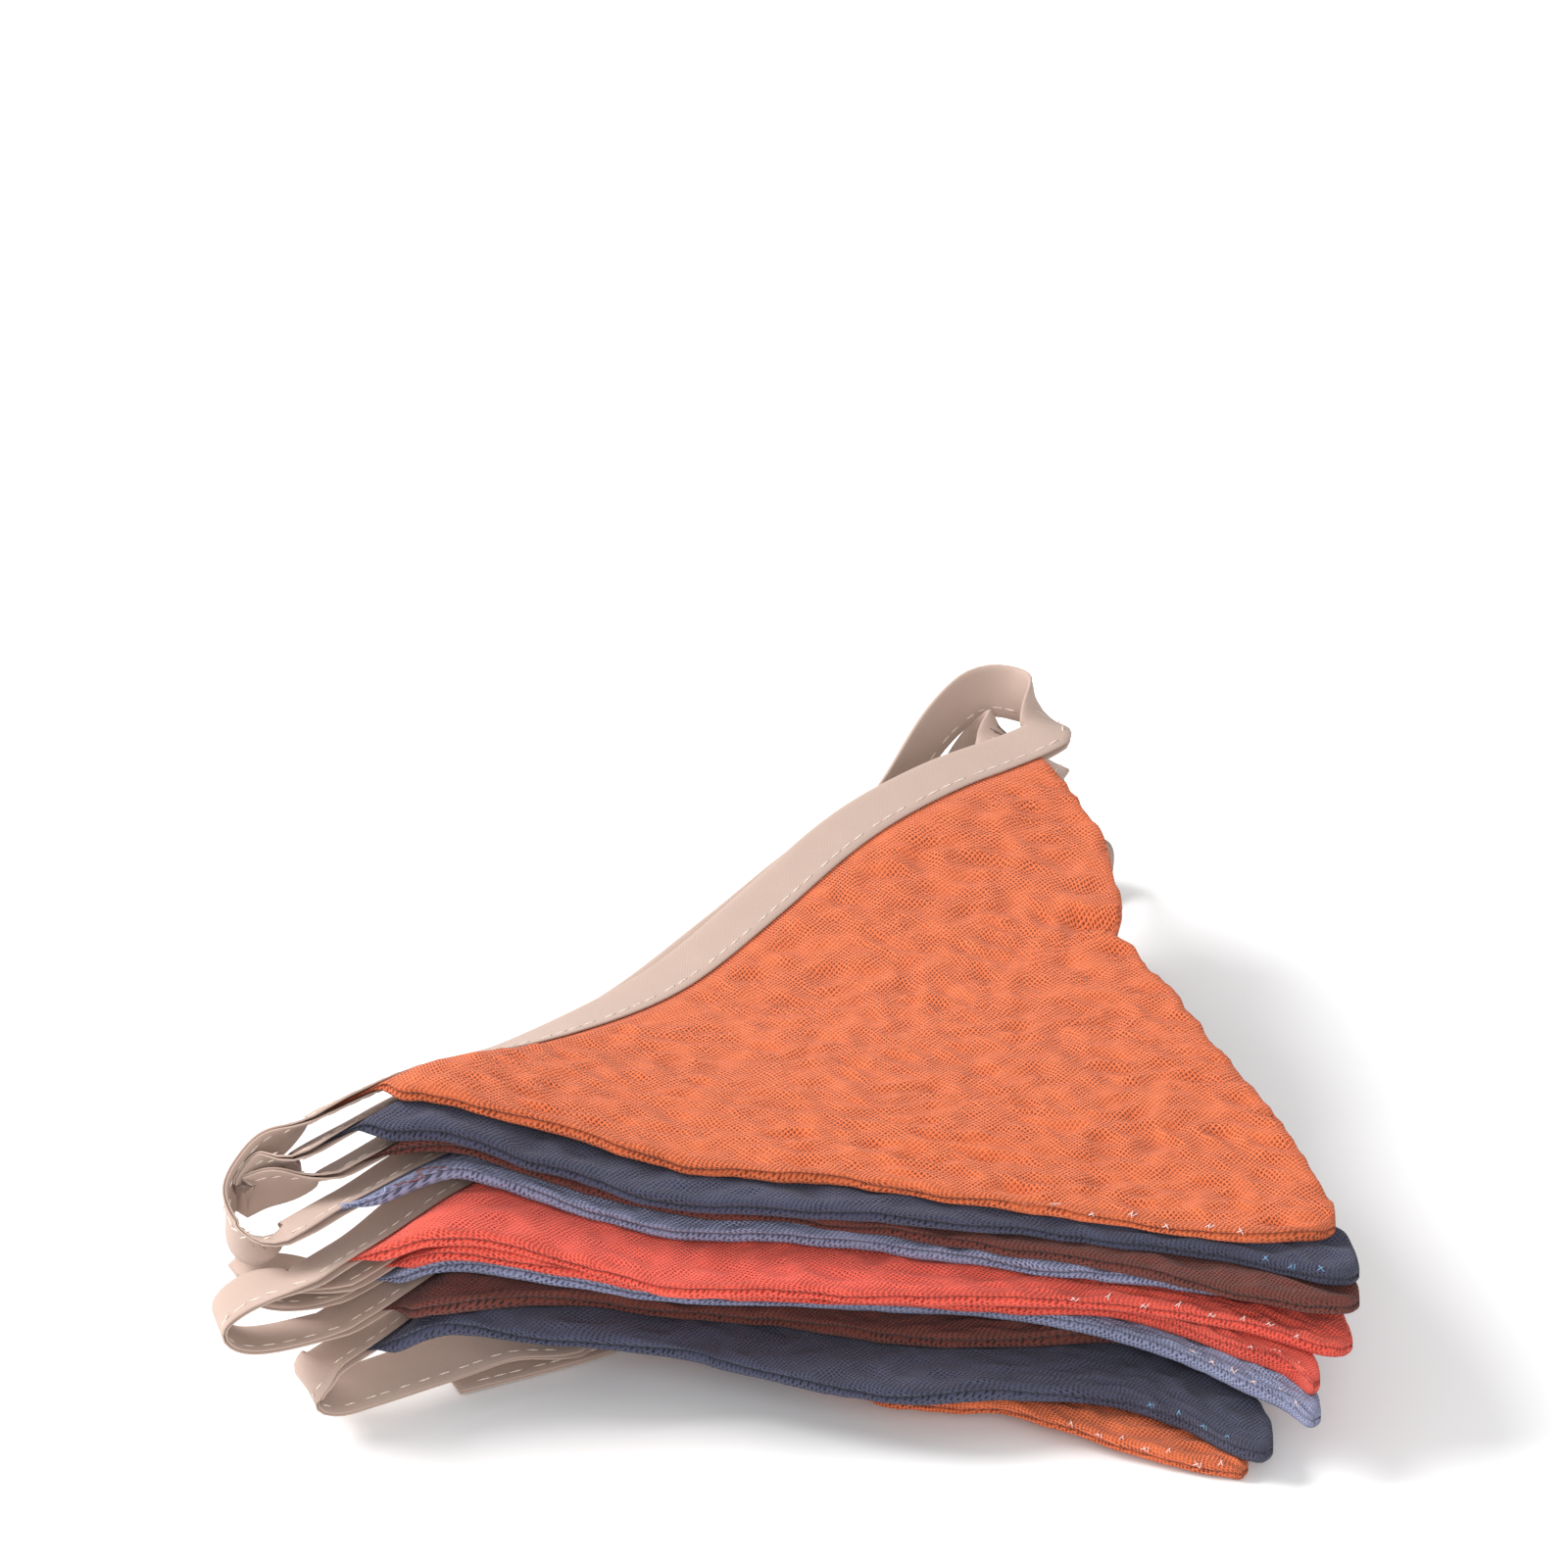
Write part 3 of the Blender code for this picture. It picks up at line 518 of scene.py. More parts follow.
class Value:
    """A number socket that takes part in ordinary arithmetic."""

    def __init__(self, nodes, socket):
        self.nodes = nodes
        self.socket = socket

    def maths(self, operation, *values):
        """One Math node on these values."""
        inputs = dict(enumerate(values))
        return self.nodes.add("ShaderNodeMath", {"operation": operation}, inputs)["Value"]

    def __add__(self, other):
        return self.maths("ADD", self, other)

    def __radd__(self, other):
        return self.maths("ADD", other, self)

    def __sub__(self, other):
        return self.maths("SUBTRACT", self, other)

    def __rsub__(self, other):
        return self.maths("SUBTRACT", other, self)

    def __mul__(self, other):
        return self.maths("MULTIPLY", self, other)

    def cosine(self):
        """Cosine of this angle in radians."""
        return self.maths("COSINE", self)

    def larger(self, other):
        """The larger of two numbers."""
        return self.maths("MAXIMUM", self, other)

    def between(self, low, high):
        """Ease from 0 at low to 1 at high."""
        settings = {"interpolation_type": "SMOOTHSTEP"}
        inputs = {"Value": self, "From Min": low, "From Max": high}
        return self.nodes.add("ShaderNodeMapRange", settings, inputs)["Result"]


class Nodes:
    """Adds nodes to one tree: type, settings, then the values or links of their sockets."""

    def __init__(self, tree):
        self.tree = tree

    def add(self, kind, settings=None, inputs=None):
        """Add a node and give its outputs by name."""
        node = self.tree.nodes.new(kind)
        for name, value in (settings or {}).items():
            setattr(node, name, value)
        for key, value in (inputs or {}).items():
            self.feed(node.inputs[key], value)
        return {socket.name: Value(self, socket) for socket in node.outputs if socket.enabled}

    def feed(self, socket, value):
        """Give a socket its link or its value."""
        if isinstance(value, Value):
            self.tree.links.new(value.socket, socket)
        else:
            socket.default_value = value

    def mix_colours(self, share, one, two):
        """Colour between two colours."""
        node = self.tree.nodes.new("ShaderNodeMix")
        node.data_type = "RGBA"
        self.feed(node.inputs["Factor"], share)
        self.feed(next(s for s in node.inputs if s.identifier == "A_Color"), one)
        self.feed(next(s for s in node.inputs if s.identifier == "B_Color"), two)
        return Value(self, next(s for s in node.outputs if s.identifier == "Result_Color"))

    def attribute(self, name, output):
        """A number or vector kept on the piece."""
        return self.add("ShaderNodeAttribute", {"attribute_name": name}, {})[output]

    def lumps(self, vector, scale, detail=2.0):
        """Noise texture from 0 to 1."""
        inputs = {"Vector": vector, "Scale": scale, "Detail": detail}
        return self.add("ShaderNodeTexNoise", {}, inputs)["Fac"]


def new_material(name):
    """Empty material with its node builder and its surface shader."""
    material = bpy.data.materials.new(name)
    material.use_nodes = True
    shader = material.node_tree.nodes["Principled BSDF"]
    return material, Nodes(material.node_tree), shader


def shaded(colour, factor):
    """Colour with alpha, made lighter or darker."""
    return (*(min(part * factor, 1.0) for part in colour), 1.0)


def gauze_material(name, colour, gap_shade_colour, settings):
    """Open plain-woven gauze: round threads over and under, small gaps painted dark as painted shade, crests
    painted paler and hollows darker as painted light and shade, painted shade where the hem rolls under.
    """
    material, nodes, shader = new_material(name)
    place = nodes.attribute("cloth_place", "Vector")
    wander = nodes.add("ShaderNodeTexNoise", {}, {"Vector": place, "Scale": 0.3, "Detail": 2.0})["Color"]
    wander = nodes.add("ShaderNodeVectorMath", {"operation": "SUBTRACT"}, {0: wander, 1: (0.5, 0.5, 0.5)})
    pulled = nodes.add("ShaderNodeVectorMath", {"operation": "MULTIPLY_ADD"},
                       {0: wander["Vector"], 1: (1.1, 1.1, 0.0), 2: place})["Vector"]
    split = nodes.add("ShaderNodeSeparateXYZ", {}, {"Vector": pulled})
    warp = split["X"] * (math.pi / settings.thread_pitch)
    weft = split["Y"] * (math.pi / settings.thread_pitch)
    warp_cos, weft_cos = warp.cosine(), weft.cosine()
    over = warp_cos * weft_cos
    warp_round, weft_round = warp_cos * warp_cos, weft_cos * weft_cos
    gap = (1.0 - warp_round) * (1.0 - weft_round)
    openness = nodes.lumps(place, 0.16)
    gap = gap.between(0.2, 0.62) * (openness.between(0.3, 0.6) * 0.6 + 0.4)
    thread = (warp_round * (over * 0.5 + 0.5)).larger(weft_round * (0.5 - over * 0.5))
    fibre = nodes.lumps(place, 5.0, 3.0)
    relief = nodes.attribute("relief", "Fac")
    seam = nodes.attribute("seam", "Fac")
    # Painted light and shade on the crinkles: crests lighter, hollows darker.
    base = nodes.mix_colours(relief, shaded(colour, 0.84), shaded(colour, 1.08))
    base = nodes.mix_colours((thread * 0.5 + fibre * 0.5).between(0.1, 0.8), shaded(colour, 0.86), base)
    # Painted shade in the gaps between the threads.
    base = nodes.mix_colours(gap * settings.gap_darkness, base, shaded(gap_shade_colour, 1.0))
    # Painted shade where the hem rolls under to its seam.
    base = nodes.mix_colours(seam * 0.5, base, shaded(gap_shade_colour, 0.75))
    height = thread * 0.6 + fibre * 0.25 - gap * 0.8
    bump = nodes.add("ShaderNodeBump", {}, {"Strength": 1.0, "Distance": 0.0003, "Height": height})
    nodes.feed(shader.inputs["Base Color"], base)
    nodes.feed(shader.inputs["Normal"], bump["Normal"])
    nodes.feed(shader.inputs["Roughness"], fibre * 0.1 + 0.88)
    shader.inputs["Sheen Weight"].default_value = 0.12
    shader.inputs["Sheen Roughness"].default_value = 0.6
    shader.inputs["Specular IOR Level"].default_value = 0.2
    return material


def tape_material(name, colour, settings):
    """Closely woven cotton tape with a fine diagonal rib."""
    material, nodes, shader = new_material(name)
    place = nodes.attribute("tape_place", "Vector")
    split = nodes.add("ShaderNodeSeparateXYZ", {}, {"Vector": place})
    rib = ((split["X"] + split["Y"]) * (2 * math.pi / settings.rib_pitch)).cosine()
    cross = ((split["X"] - split["Y"]) * (2 * math.pi / settings.rib_pitch)).cosine()
    fibre = nodes.lumps(place, 4.0, 3.0)
    cloud = nodes.lumps(place, 0.12, 2.0)
    rib_height = rib * 0.5 + cross * 0.25
    base = nodes.mix_colours(cloud, shaded(colour, 0.9), shaded(colour, 1.08))
    base = nodes.mix_colours((rib_height * 0.5 + fibre * 0.7).between(-0.1, 0.75), shaded(colour, 0.8), base)
    bump = nodes.add("ShaderNodeBump", {}, {"Strength": 0.5, "Distance": 0.00008,
                                            "Height": rib_height * 0.5 + fibre * 0.6})
    nodes.feed(shader.inputs["Base Color"], base)
    nodes.feed(shader.inputs["Normal"], bump["Normal"])
    nodes.feed(shader.inputs["Roughness"], fibre * 0.1 + 0.78)
    shader.inputs["Sheen Weight"].default_value = 0.08
    shader.inputs["Specular IOR Level"].default_value = 0.25
    return material


def thread_material(name, colour):
    """Twisted sewing thread."""
    material, nodes, shader = new_material(name)
    place = nodes.add("ShaderNodeTexCoord", {}, {})["Object"]
    twist = nodes.add("ShaderNodeTexNoise", {}, {"Vector": place, "Scale": 2600.0, "Detail": 1.0})["Fac"]
    base = nodes.mix_colours(twist.between(0.3, 0.7), shaded(colour, 0.72), shaded(colour, 1.05))
    nodes.feed(shader.inputs["Base Color"], base)
    nodes.feed(shader.inputs["Roughness"], twist * 0.1 + 0.6)
    return material


def row_distances(length, step):
    """Rows from the raw edge inside the tape to the tip, in millimetres from the fold."""
    near = FIRST_ROWS
    start = near[-1] + step
    end = length - TIP_ROUNDING
    body = list(np.linspace(start, end, max(int((end - start) / step), 4)))
    inset, rise, arc = rim_profile()
    tip = list(np.linspace(end, length - inset[-1], TIP_STEPS)[1:-1])
    rim = [length - value for value in inset[::-1]]
    rises = [1.0] * len(near + body + tip) + list(rise[::-1])
    arcs = [0.0] * len(near + body + tip) + list(arc[::-1])
    return np.array(near + body + tip + rim), np.array(rises), np.array(arcs)


def half_thickness(row, x, y, distance):
    """How far the upper and the lower layer of a pennant stand from its middle."""
    middle = middle_height(row, x, y)
    if row == 0:
        above = np.full_like(middle, TOP_HALF)
    else:
        above = np.clip((middle_height(row - 1, x, y) - middle) / 2 - ROOM_HALF, *HALF_LIMITS)
    if row == len(PENNANTS) - 1:
        below = np.full_like(middle, LOWEST_MIDDLE - 0.04)
    else:
        below = np.clip((middle - middle_height(row + 1, x, y)) / 2 - ROOM_HALF, *HALF_LIMITS)
    out_of_tape = smooth_step(TAPE_WIDTH, TAPE_WIDTH + LEAVES_TAPE, distance)
    return tuple(TAPED_HALF + (half - TAPED_HALF) * out_of_tape for half in (above, below))


def ridges(along, across, kind, seed):
    """Noise of one kind of crinkle, before its height."""
    length, width, shift, _ = kind
    return lumps(along / length, across / width, seed + shift)


def crinkle(row, along, away):
    """Bubbly crinkles of the gauze, long in the way of the front hem, from about -1 to 1."""
    seed = 11.3 * row
    wave = away + CRINKLE_WANDER[3] * ridges(along, away, CRINKLE_WANDER, seed)
    bubbles = BUBBLE_CREST - np.abs(ridges(along, wave, BUBBLES, seed)) * BUBBLE_SHARPNESS
    fine = ridges(along, wave, FINE_CRINKLES, seed)
    broad = ridges(along, away, BROAD_CRINKLES, seed)
    return BUBBLES[3] * bubbles + FINE_CRINKLES[3] * fine + BROAD_CRINKLES[3] * broad


def creases(x, y, hem_distance):
    """The top pennant's own folds: one running in from its far side, and a soft ridge above its hem."""
    away, share = from_stretch(x, y, NOTCH_FROM, NOTCH_TO)
    fold = bells(away, FOLD_BELLS) * (1.0 - smooth_step(0.2, 1.0, share))
    wander = 1.5 * lumps(x / 22.0, np.full_like(x, 0.7), 3.0)
    ridge = bells(hem_distance, RIDGE_BELLS, wander) * smooth_step(*RIDGE_FADES_IN, x)
    return fold + RIDGE_HEIGHT * ridge * (0.65 + 0.5 * lumps(x / 14.0, y / 40.0, 8.0))


def hem_ripple(row, distance, length):
    """How far both sloping sides of a pennant wander from a straight line."""
    ripple = sum(amount * lumps(distance / wavelength, np.full_like(distance, 1.7 * row), seed)
                 for wavelength, amount, seed in HEM_RIPPLES)
    ripple = ripple * smooth_step(TAPE_WIDTH, TAPE_WIDTH + RIPPLE_START, distance)
    return ripple * smooth_step(0.0, RIPPLE_END, length - distance)


@functools.lru_cache(maxsize=None)
def lay_pennant(row, columns, step, crinkle_height):
    """Grid of points on both layers of a pennant, with its flat cloth places, the painted light and shade of
    its crinkles and the painted shade at its seam.
    """
    length = side_length(row)
    edge = edge_ways(row)[0]
    distance, tip_rise, tip_arc = row_distances(length, step)
    inset, rise, arc = rim_profile()
    c_along = float(np.dot(corner(row, "C") - corner(row, "A"), edge))
    left_end, right_end = c_along - TIP_WIDTH / 2, c_along + TIP_WIDTH / 2
    left_slant = math.hypot(length, left_end) / length
    right_slant = math.hypot(length, TOP_EDGE - right_end) / length

    down = distance / length
    width = TOP_EDGE + (right_end - left_end - TOP_EDGE) * down
    closing = np.clip((distance - (length - TIP_ROUNDING)) / TIP_ROUNDING, 0.0, 1.0)
    closing = np.sqrt(1.0 - (0.9 * closing)**2)
    wide = width * closing
    squeeze = np.minimum(1.0, wide / (3.2 * HEM_ROUNDING))
    ripple = hem_ripple(row, distance, length)
    notch = bells(distance, NOTCH_BELLS, NOTCH_ROW) if row == 0 else 0.0
    left = np.outer(squeeze, inset * left_slant) - ripple[:, None]
    right = wide[:, None] - np.outer(squeeze, inset[::-1] * right_slant) - (ripple + notch)[:, None]
    shares = np.linspace(0.0, 1.0, columns + 2)[1:-1]
    shares = shares if row == 0 else shares**LOWER_CROWDING
    inner = left[:, -1:] + (right[:, :1] - left[:, -1:]) * shares
    from_left = np.concatenate((left, inner, right), axis=1)
    across = 0.5 + (from_left / wide[:, None] - 0.5) * closing[:, None]
    side_rise = np.concatenate((rise, np.ones(columns), rise[::-1]))
    rises = tip_rise[:, None] * side_rise
    rises[0] = 0.0

    downs = np.repeat(down[:, None], across.shape[1], axis=1)
    distances = downs * length
    plan = plan_point(row, across, downs)
    x, y = plan[..., 0], plan[..., 1]
    middle = np.stack((x, y, surface_height(row, x, y, distances)), axis=-1)
    flat_along = (left_end * downs) + across * width[:, None]
    fold, way = tape_frame(row, np.clip(flat_along / TOP_EDGE, 0.0, 1.0))
    in_tape = fold + way * distances[..., None]
    out = smooth_step(*BLENDS_OUT, distances)[..., None]
    middle = in_tape + (middle - in_tape) * out

    hem_way = unit(np.array((c_along, length)))
    along = flat_along * hem_way[0] + distances * hem_way[1]
    away = flat_along * hem_way[1] - distances * hem_way[0]
    folds = crinkle(row, along, away)
    above, below = half_thickness(row, x, y, distances)
    wavelength, amount, resting = SEAM_WANDER
    seam_level = amount * lumps(along / wavelength, np.full_like(along, 3.7 * row), 6.0) + resting
    seam_z = seam_level * np.minimum(above, below)
    free = smooth_step(*CRINKLES_START, distances)
    height = crinkle_height if row == 0 else LOWER_CRINKLES * crinkle_height
    lift = folds * height * free * rises
    if row == 0:
        lift = lift + creases(x, y, away) * free * rises
    upper_z = middle[..., 2] + seam_z + (above - seam_z) * rises + lift
    lower_z = middle[..., 2] + seam_z - (below + seam_z) * rises + UNDERSIDE_LIFT * np.minimum(lift, 0.0)
    if row == len(PENNANTS) - 1:
        lower_z = np.maximum(lower_z, FLOOR_CLEARANCE)
    upper = np.concatenate((middle[..., :2], upper_z[..., None]), axis=-1)
    lower = np.concatenate((middle[..., :2], lower_z[..., None]), axis=-1)

    side_arc = np.concatenate((-arc, np.zeros(columns), arc[::-1]))
    place = np.stack((flat_along + side_arc[None, :], distances + tip_arc[:, None]), axis=-1)
    # Painted light and shade for the crinkles: crests get a lighter colour, hollows a darker one.
    relief = np.clip(0.55 + 0.5 * folds, 0.0, 1.0)
    # Painted shade on the hem's rim where it rolls under to the seam.
    seam = np.clip(1.0 - rises * 2.6, 0.0, 1.0)
    return upper, lower, place, relief, seam


def grid_faces(rows, columns, numbers):
    """Quads of a grid whose vertices have these numbers."""
    n = numbers.reshape(rows, columns)
    quads = np.stack((n[:-1, :-1], n[:-1, 1:], n[1:, 1:], n[1:, :-1]), axis=-1)
    return quads.reshape(-1, 4)


def build_pennant(row, columns, step, crinkle_height):
    """One doubled pennant as a closed sheet that shares its rim between both layers."""
    upper, lower, place, relief, seam = lay_pennant(row, columns, step, crinkle_height)
    rows, wide = relief.shape
    upper_numbers = np.arange(rows * wide).reshape(rows, wide)
    inner = np.zeros((rows, wide), dtype=bool)
    inner[1:-1, 1:-1] = True
    lower_numbers = upper_numbers.copy()
    lower_numbers[inner] = rows * wide + np.arange(inner.sum())
    points = np.concatenate((upper.reshape(-1, 3), lower[inner]))
    faces = np.concatenate((grid_faces(rows, wide, upper_numbers)[:, ::-1],
                            grid_faces(rows, wide, lower_numbers)))
    thing = mesh_from_grid(PENNANTS[row][0].replace("pennant", "gauze"), points, faces)
    mesh_places = np.concatenate((place, np.full(place.shape[:2] + (1,), 20.0 * row)), axis=-1)
    below = mesh_places[inner] + (0.0, 0.0, 400.0)
    store(thing, "cloth_place", np.concatenate((mesh_places.reshape(-1, 3), below)))
    store(thing, "relief", np.concatenate((relief.ravel(), relief[inner])))
    store(thing, "seam", np.concatenate((seam.ravel(), seam[inner])))
    return thing


def curve_points(centres, ways, count):
    """Evenly spaced points and lip directions on the smooth curve through the inner knots."""
    centres = np.array(centres, dtype=float)
    ways = unit(np.array(ways, dtype=float))
    fine, fine_ways = [], []
    steps = np.linspace(0.0, 1.0, 25)[:, None]
    for k in range(1, len(centres) - 2):
        p0, p1, p2, p3 = centres[k - 1:k + 3]
        chord = np.linalg.norm(p2 - p1)
        m1 = (p2 - p0) / (chord + np.linalg.norm(p1 - p0)) * chord
        m2 = (p3 - p1) / (np.linalg.norm(p3 - p2) + chord) * chord
        t = steps if k == len(centres) - 3 else steps[:-1]
        fine.append(smooth_join(p1, m1, p2, m2, t))
        ease = smooth_step(0.0, 1.0, t)
        fine_ways.append(unit(ways[k] * (1.0 - ease) + ways[k + 1] * ease))
    fine, fine_ways = np.concatenate(fine), np.concatenate(fine_ways)
    lengths = lengths_along(fine)
    wanted = np.linspace(0.0, lengths[-1], count + 1)
    points = np.stack([np.interp(wanted, lengths, fine[:, i]) for i in range(3)], axis=-1)
    lips = unit(np.stack([np.interp(wanted, lengths, fine_ways[:, i]) for i in range(3)], axis=-1))
    return points, lips


def pennant_run(row, start, spacing):
    """Tape stations along one pennant, in the order that the string visits it."""
    shares = np.linspace(0.0, 1.0, int(TOP_EDGE / spacing))
    fold, way = tape_frame(row, shares)
    inner_fold = tape_frame(row, np.array((HEM_COLUMN, 1.0 - HEM_COLUMN)))[0]
    before = fold[0] + unit(fold[0] - inner_fold[0]) * TAPE_RUN_ON * TOP_EDGE
    after = fold[-1] + unit(fold[-1] - inner_fold[1]) * TAPE_RUN_ON * TOP_EDGE
    fold = np.concatenate((before[None], fold, after[None]))
    way = np.concatenate((way[:1], way, way[-1:]))
    centre = fold + way * TAPE_WIDTH / 2
    return (centre[::-1], way[::-1]) if start == "B" else (centre, way)


def free_run(before, knots, after, spacing):
    """Free tape between two runs, through its own knots, without the runs' own end points."""
    centres = [list(knot[:3]) for knot in knots]
    ways = [list(knot[3:]) for knot in knots]
    if before is None:
        centres.insert(0, [2 * a - b for a, b in zip(centres[0], centres[1])])
        ways.insert(0, ways[0])
    else:
        centres = [before[0][-2].tolist(), before[0][-1].tolist()] + centres
        ways = [before[1][-2].tolist(), before[1][-1].tolist()] + ways
    if after is None:
        centres.append([2 * a - b for a, b in zip(centres[-1], centres[-2])])
        ways.append(ways[-1])
    else:
        centres += [after[0][0].tolist(), after[0][1].tolist()]
        ways += [after[1][0].tolist(), after[1][1].tolist()]
    rough = sum(math.dist(a, b) for a, b in zip(centres[1:-1], centres[2:-1]))
    points, lips = curve_points(centres, ways, int(rough / spacing) + 8)
    first = 0 if before is None else 1
    last = len(points) if after is None else len(points) - 1
    return points[first:last], lips[first:last]


def smoothed(rows, reach):
    """Each row replaced by a weighted mean of its neighbours."""
    kernel = np.hanning(reach + 2)[1:-1]
    half = reach // 2
    padded = np.concatenate((np.repeat(rows[:1], half, axis=0), rows, np.repeat(rows[-1:], half, axis=0)))
    kernel = kernel / kernel.sum()
    return np.stack([np.convolve(column, kernel, mode="valid") for column in padded.T], axis=-1)


@functools.lru_cache(maxsize=None)
def tape_path(spacing):
    """Centres, lip directions and slot shares of the whole tape, from one end to the other."""
    runs = [pennant_run(row, start, spacing) for row, start in STRING_ORDER]
    stretches = [(*free_run(None, FIRST_TAIL, runs[0], spacing), 0.0)]
    for k, run in enumerate(runs):
        stretches.append((*run, 1.0))
        if k < len(LOOPS):
            stretches.append((*free_run(run, LOOPS[k], runs[k + 1], spacing), 0.0))
    stretches.append((*free_run(runs[-1], SECOND_TAIL, None, spacing), 0.0))
    centres = np.concatenate([s[0] for s in stretches])
    ways = np.concatenate([s[1] for s in stretches])
    open_share = np.concatenate([np.full(len(s[0]), s[2]) for s in stretches])
    open_share = smoothed(open_share[:, None], SLOT_EVENING)[:, 0]
    free = (1.0 - open_share)[:, None]
    centres = centres * (1.0 - free) + smoothed(centres, LINE_EVENING) * free
    ways = unit(ways * (1.0 - free) + smoothed(ways, TURN_EVENING) * free)
    along = unit(np.gradient(centres, axis=0))
    square = unit(ways - along * np.sum(ways * along, axis=1, keepdims=True))
    ways = unit(square + (ways - square) * open_share[:, None])
    normals = unit(np.cross(along, ways))
    return centres, ways, normals, open_share, along


def tape_section(open_share, wall, closed_slot, open_slot):
    """Points across the folded tape: outside of one wall, the fold, the other wall, and the inside."""
    half = (closed_slot + (open_slot - closed_slot) * open_share) / 2
    outer = half + wall
    fold, lips = -TAPE_WIDTH / 2, TAPE_WIDTH / 2
    section = []
    for w in np.linspace(lips - LIP_ROUNDING, fold + FOLD_REACH, WALL_POINTS):
        section.append((np.full_like(outer, w), outer))
    for angle in np.radians(FOLD_ANGLES):
        section.append((fold + outer * (1.0 - math.cos(angle)), outer * math.sin(angle)))
    for w in np.linspace(fold + FOLD_REACH, lips - LIP_ROUNDING, WALL_POINTS):
        section.append((np.full_like(outer, w), -outer))
    section.append((np.full_like(outer, lips), -(half + outer) / 2))
    section.append((np.full_like(outer, lips - LIP_INSET), -half))
    section.append((np.full_like(outer, fold + 2 * wall), -half))
    section.append((np.full_like(outer, fold + 2 * wall), half))
    section.append((np.full_like(outer, lips - LIP_INSET), half))
    section.append((np.full_like(outer, lips), (half + outer) / 2))
    return section


def build_tape(spacing, wall, closed_slot, open_slot):
    """The folded binding tape as one closed piece with an open slot."""
    centres, ways, normals, open_share, _ = tape_path(spacing)
    section = tape_section(open_share, wall, closed_slot, open_slot)
    count, sides = len(centres), len(section)
    lengths = lengths_along(centres)
    rings, places = [], []
    around = 0.0
    for j, (w, n) in enumerate(section):
        rings.append(centres + ways * w[:, None] + normals * n[:, None])
        around += 0.0 if j == 0 else math.dist((w[0], n[0]), (section[j - 1][0][0], section[j - 1][1][0]))
        places.append(np.stack((lengths, np.full(count, around), np.zeros(count)), axis=-1))
    points = np.stack(rings, axis=1)
    numbers = np.arange(count * sides).reshape(count, sides)
    closed = np.concatenate((numbers, numbers[:, :1]), axis=1)
    faces = grid_faces(count, sides + 1, closed.ravel())
    thing = mesh_from_grid("sewn_tape", points.reshape(-1, 3), faces)
    close_tape_ends(thing, numbers)
    store(thing, "tape_place", np.stack(places, axis=1).reshape(-1, 3))
    return thing


def close_tape_ends(thing, numbers):
    """Cap both ends of the tape and point every face outwards."""
    body = bmesh.new()
    body.from_mesh(thing.data)
    body.verts.ensure_lookup_table()
    for ring in (numbers[0], numbers[-1]):
        body.faces.new([body.verts[int(k)] for k in ring])
    bmesh.ops.recalc_face_normals(body, faces=body.faces)
    body.to_mesh(thing.data)
    body.free()
    thing.data.shade_smooth()


def stitch_tree(material):
    """Lay one small spindle of thread at every point, along its own direction."""
    tree = bpy.data.node_groups.new("Stitches", "GeometryNodeTree")
    tree.interface.new_socket("Geometry", in_out="INPUT", socket_type="NodeSocketGeometry")
    for label in ("Stitch length", "Thread width"):
        socket = tree.interface.new_socket(label, in_out="INPUT", socket_type="NodeSocketFloat")
        socket.subtype = "DISTANCE"
    tree.interface.new_socket("Unevenness", in_out="INPUT", socket_type="NodeSocketFloat")
    tree.interface.new_socket("Geometry", in_out="OUTPUT", socket_type="NodeSocketGeometry")
    nodes = Nodes(tree)
    given = nodes.add("NodeGroupInput")
    spindle = nodes.add("GeometryNodeMeshUVSphere", {}, {"Segments": 6, "Rings": 4, "Radius": 0.5})["Mesh"]
    vector = {"data_type": "FLOAT_VECTOR"}
    along, outward = (nodes.add("GeometryNodeInputNamedAttribute", vector, {"Name": name})["Attribute"]
                      for name in ("along", "outward"))
    turned = nodes.add("FunctionNodeAxesToRotation", {"primary_axis": "X", "secondary_axis": "Z"},
                       {"Primary Axis": along, "Secondary Axis": outward})["Rotation"]
    low = 1.0 - given["Unevenness"]
    high = 1.0 + given["Unevenness"]
    vary = tree.nodes.new("FunctionNodeRandomValue")
    vary.data_type = "FLOAT"
    for identifier, value in (("Min_001", low), ("Max_001", high), ("Seed", 5)):
        nodes.feed(next(s for s in vary.inputs if s.identifier == identifier), value)
    varied = Value(nodes, next(s for s in vary.outputs if s.identifier == "Value_001"))
    size = nodes.add("ShaderNodeCombineXYZ", {}, {"X": given["Stitch length"] * varied,
                                                  "Y": given["Thread width"], "Z": given["Thread width"]})
    laid = nodes.add("GeometryNodeInstanceOnPoints", {}, {
        "Points": given["Geometry"], "Instance": spindle, "Rotation": turned, "Scale": size["Vector"]})
    real = nodes.add("GeometryNodeRealizeInstances", {}, {"Geometry": laid["Instances"]})["Geometry"]
    finished = nodes.add("GeometryNodeSetMaterial", {}, {"Geometry": real, "Material": material})["Geometry"]
    nodes.add("NodeGroupOutput", {}, {"Geometry": finished})
    return tree


def lay_stitches(name, points, along, outward, material, length, width, unevenness):
    """Stitches of one thread as a plain mesh, one at each point, from their middles and directions."""
    seeds = mesh_from_grid(name + "_places", np.asarray(points), np.zeros((0, 3), dtype=int))
    store(seeds, "along", along)
    store(seeds, "outward", outward)
    tree = stitch_tree(material)
    modifier = seeds.modifiers.new("Stitches", "NODES")
    modifier.node_group = tree
    sizes = {"Stitch length": length, "Thread width": width, "Unevenness": unevenness}
    for socket in tree.interface.items_tree:
        if socket.name in sizes:
            modifier[socket.identifier] = sizes[socket.name]
    bpy.context.view_layer.update()
    evaluated = seeds.evaluated_get(bpy.context.evaluated_depsgraph_get())
    mesh = bpy.data.meshes.new_from_object(evaluated)
    mesh.name = name
    mesh.shade_smooth()
    thing = bpy.data.objects.new(name, mesh)
    bpy.context.scene.collection.objects.link(thing)
    bpy.data.objects.remove(seeds, do_unlink=True)
    return thing


